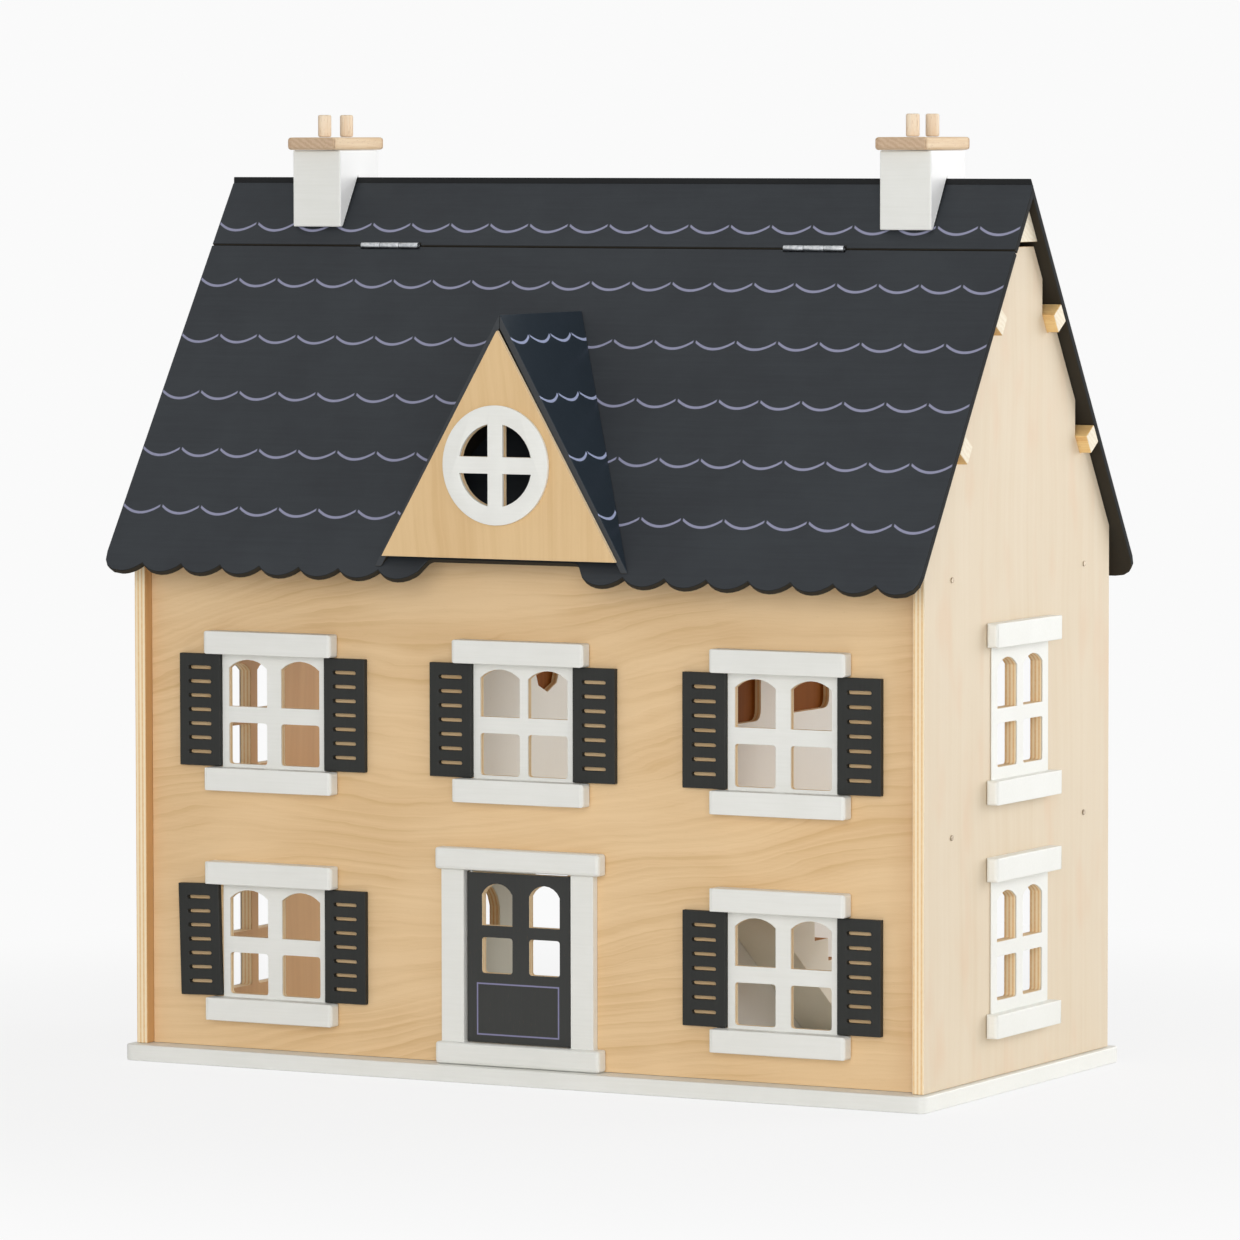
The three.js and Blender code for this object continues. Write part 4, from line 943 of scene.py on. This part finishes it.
# %% Battens and chimneys
sanded("ridge_beam", batten_beech, 0.5)
for place in ("front", "rear"):
    for row in ("upper", "lower"):
        sanded(f"purlin_{place}_{row}", batten_beech, 0.8)
for side in ("left", "right"):
    sanded(f"chimney_stack_{side}", stack_paint_and_painted_highlight, 1.0)
    sanded(f"chimney_cap_{side}", cap_beech, 2.0, segments=3, clamp=False)
    for place in ("front", "rear"):
        sanded(f"chimney_pot_{side}_{place}", pot_beech, 1.3, smooth=True, segments=3, clamp=False)
print("battens and chimneys sanded")


# %% [markdown]
# ## Windows, shutters and door
#
# Every window has a header and a sill that stand proud of its frame, with well rounded corners.
# The frame behind them stays crisp, so these edges are picked by how near the front they lie, and
# the rest is eased afterwards.

# %% Windows, shutters and door
CORNER_ROUND = 2.4  # corners of a header or sill, seen from the front
SILL_ROUND = 1.1
CORNER_REACH = 6.5  # millimetres from the front of a header or sill to just past its middle
FRONT_REACH = 2.5


def trim_rounds(node, axis, out):
    """Tests for a header's or sill's corners and front edges, which stand proud of the frame."""
    low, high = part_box(node)
    front_face = (high if out > 0 else low)[axis]

    def within(middle, depth):
        return out * (front_face - middle[axis]) < depth * MM

    def corners(middle, direction):
        return within(middle, CORNER_REACH) and abs(direction[axis]) > 0.99

    def front(middle, direction):
        return within(middle, FRONT_REACH) and abs(direction[axis]) < 0.01

    return [(corners, CORNER_ROUND), (front, SILL_ROUND)]


for window in ("upper_left", "upper_middle", "upper_right", "lower_left", "lower_right"):
    node = f"window_{window}"
    sanded(node, white_paint, 0.25, first=trim_rounds(node, Y, -1), cuts=through_panes(node, X))
    for side in ("left", "right"):
        shutter = f"shutter_{window}_{side}"
        sanded(shutter, shutter_paint, 0.5, cuts=[(X, middle(shutter, X))])
for side, out in (("left", -1), ("right", 1)):
    for floor in ("upper", "lower"):
        node = f"window_side_{side}_{floor}"
        rounds = trim_rounds(node, X, out)
        sanded(node, white_paint, 0.25, first=rounds, cuts=through_panes(node, Y))
sanded("door_surround", white_paint, 0.5, first=trim_rounds("door_surround", Y, -1))
sanded("door_leaf", door_finish, 0.5, cuts=through_panes("door_leaf", X))
print("windows hung")

# %% Hinges and rod
for node in nodes:
    if slot_of[node] == "steel":
        sanded(node, steel, 0.12, smooth=True)
print("hinges polished")

# %% [markdown]
# ## Screws
#
# Four countersunk screws go through each gable wall into the edges of the floors. A screw starts
# as a cylinder. Two insets give its head a rim and a crown, and a cross made of two thin blocks
# is taken out with a Boolean. Each copy has its own mesh, because a real screw stops at its own
# angle.

# %% One screw
SCREW_RADIUS = 2.0
SCREW_DEPTH = 0.8
SCREW_CROWN = 0.15
SCREW_SIDES = 32
CROSS_WIDTH = 0.5
CROSS_LENGTH = 2.3


def block(name, size):
    """A block with its middle at the origin; sizes are in millimetres."""
    bpy.ops.object.select_all(action="DESELECT")
    bpy.ops.mesh.primitive_cube_add(size=1)
    made = bpy.context.object
    made.name = name
    bpy.ops.object.mode_set(mode="EDIT")
    bpy.ops.mesh.select_all(action="SELECT")
    bpy.ops.transform.resize(value=[side * MM for side in size], center_override=(0, 0, 0))
    bpy.ops.object.mode_set(mode="OBJECT")
    return made


def cross_screw():
    """A screw with its head up and its rim level with z = 0."""
    bpy.ops.object.select_all(action="DESELECT")
    bpy.ops.mesh.primitive_cylinder_add(
        vertices=SCREW_SIDES, radius=SCREW_RADIUS * MM, depth=SCREW_DEPTH * MM, location=(0, 0, 0)
    )
    screw = bpy.context.object
    screw.name = "screw"
    bpy.ops.object.mode_set(mode="EDIT")
    bpy.ops.mesh.select_all(action="SELECT")
    bpy.ops.transform.translate(value=(0, 0, -SCREW_DEPTH / 2 * MM))
    bpy.ops.mesh.select_mode(type="FACE")
    bpy.ops.mesh.select_all(action="DESELECT")
    shape = bmesh.from_edit_mesh(screw.data)
    for face in shape.faces:
        face.select = face.normal.z > 0.9
    bmesh.update_edit_mesh(screw.data)
    bpy.ops.mesh.inset(thickness=SCREW_RADIUS * 0.15 * MM, depth=SCREW_CROWN * 0.6 * MM)
    bpy.ops.mesh.inset(thickness=SCREW_RADIUS * 0.4 * MM, depth=SCREW_CROWN * 0.4 * MM)
    bpy.ops.object.mode_set(mode="OBJECT")
    for turn in (0, 1):
        sides = (CROSS_LENGTH, CROSS_WIDTH) if turn else (CROSS_WIDTH, CROSS_LENGTH)
        cutter = block("cutter", (*sides, SCREW_DEPTH * 1.2))
        only(screw)
        cut = screw.modifiers.new("cross", "BOOLEAN")
        cut.object = cutter
        cut.operation = "DIFFERENCE"
        cut.solver = "EXACT"
        bpy.ops.object.modifier_apply(modifier=cut.name)
        bpy.data.objects.remove(cutter)
    return screw


first_screw = cross_screw()
print(f"a screw with {len(first_screw.data.polygons)} faces")

# %% Screws in the gables
SCREW_FROM_MIDDLE = 111.5  # millimetres along the floors, from the middle of the gable
FIRST_TURN, NEXT_TURN = 17, 37  # degrees


def driven(screw, place, out, turn):
    """A copy of a screw in a gable wall, its head looking out along x."""
    copy = bpy.data.objects.new("screw", screw.data.copy())
    bpy.context.scene.collection.objects.link(copy)
    only(copy)
    bpy.ops.object.mode_set(mode="EDIT")
    bpy.ops.mesh.select_all(action="SELECT")
    for angle, axis in ((turn, "Z"), (90 * out, "Y")):
        bpy.ops.transform.rotate(
            value=math.radians(angle), orient_axis=axis, center_override=(0, 0, 0)
        )
    bpy.ops.transform.translate(value=place)
    bpy.ops.object.mode_set(mode="OBJECT")
    copy.data.materials.append(screw_steel)
    copy.data.shade_flat()
    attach(copy, "house")
    return copy


turn = FIRST_TURN
for wall, out in (("left_wall", -1), ("right_wall", 1)):
    wall_low, wall_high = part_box(wall)
    face_x = wall_high.x if out > 0 else wall_low.x
    for floor in ("middle_floor", "attic_floor"):
        floor_low, floor_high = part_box(floor)
        for end in (-1, 1):
            place = (face_x, end * SCREW_FROM_MIDDLE * MM, (floor_low.z + floor_high.z) / 2)
            driven(first_screw, place, out, turn)
            turn += NEXT_TURN
            print(f"screw in {wall} at {place[Y]:.4f}, {place[Z]:.4f}")
bpy.data.objects.remove(first_screw)
print("eight screws driven")
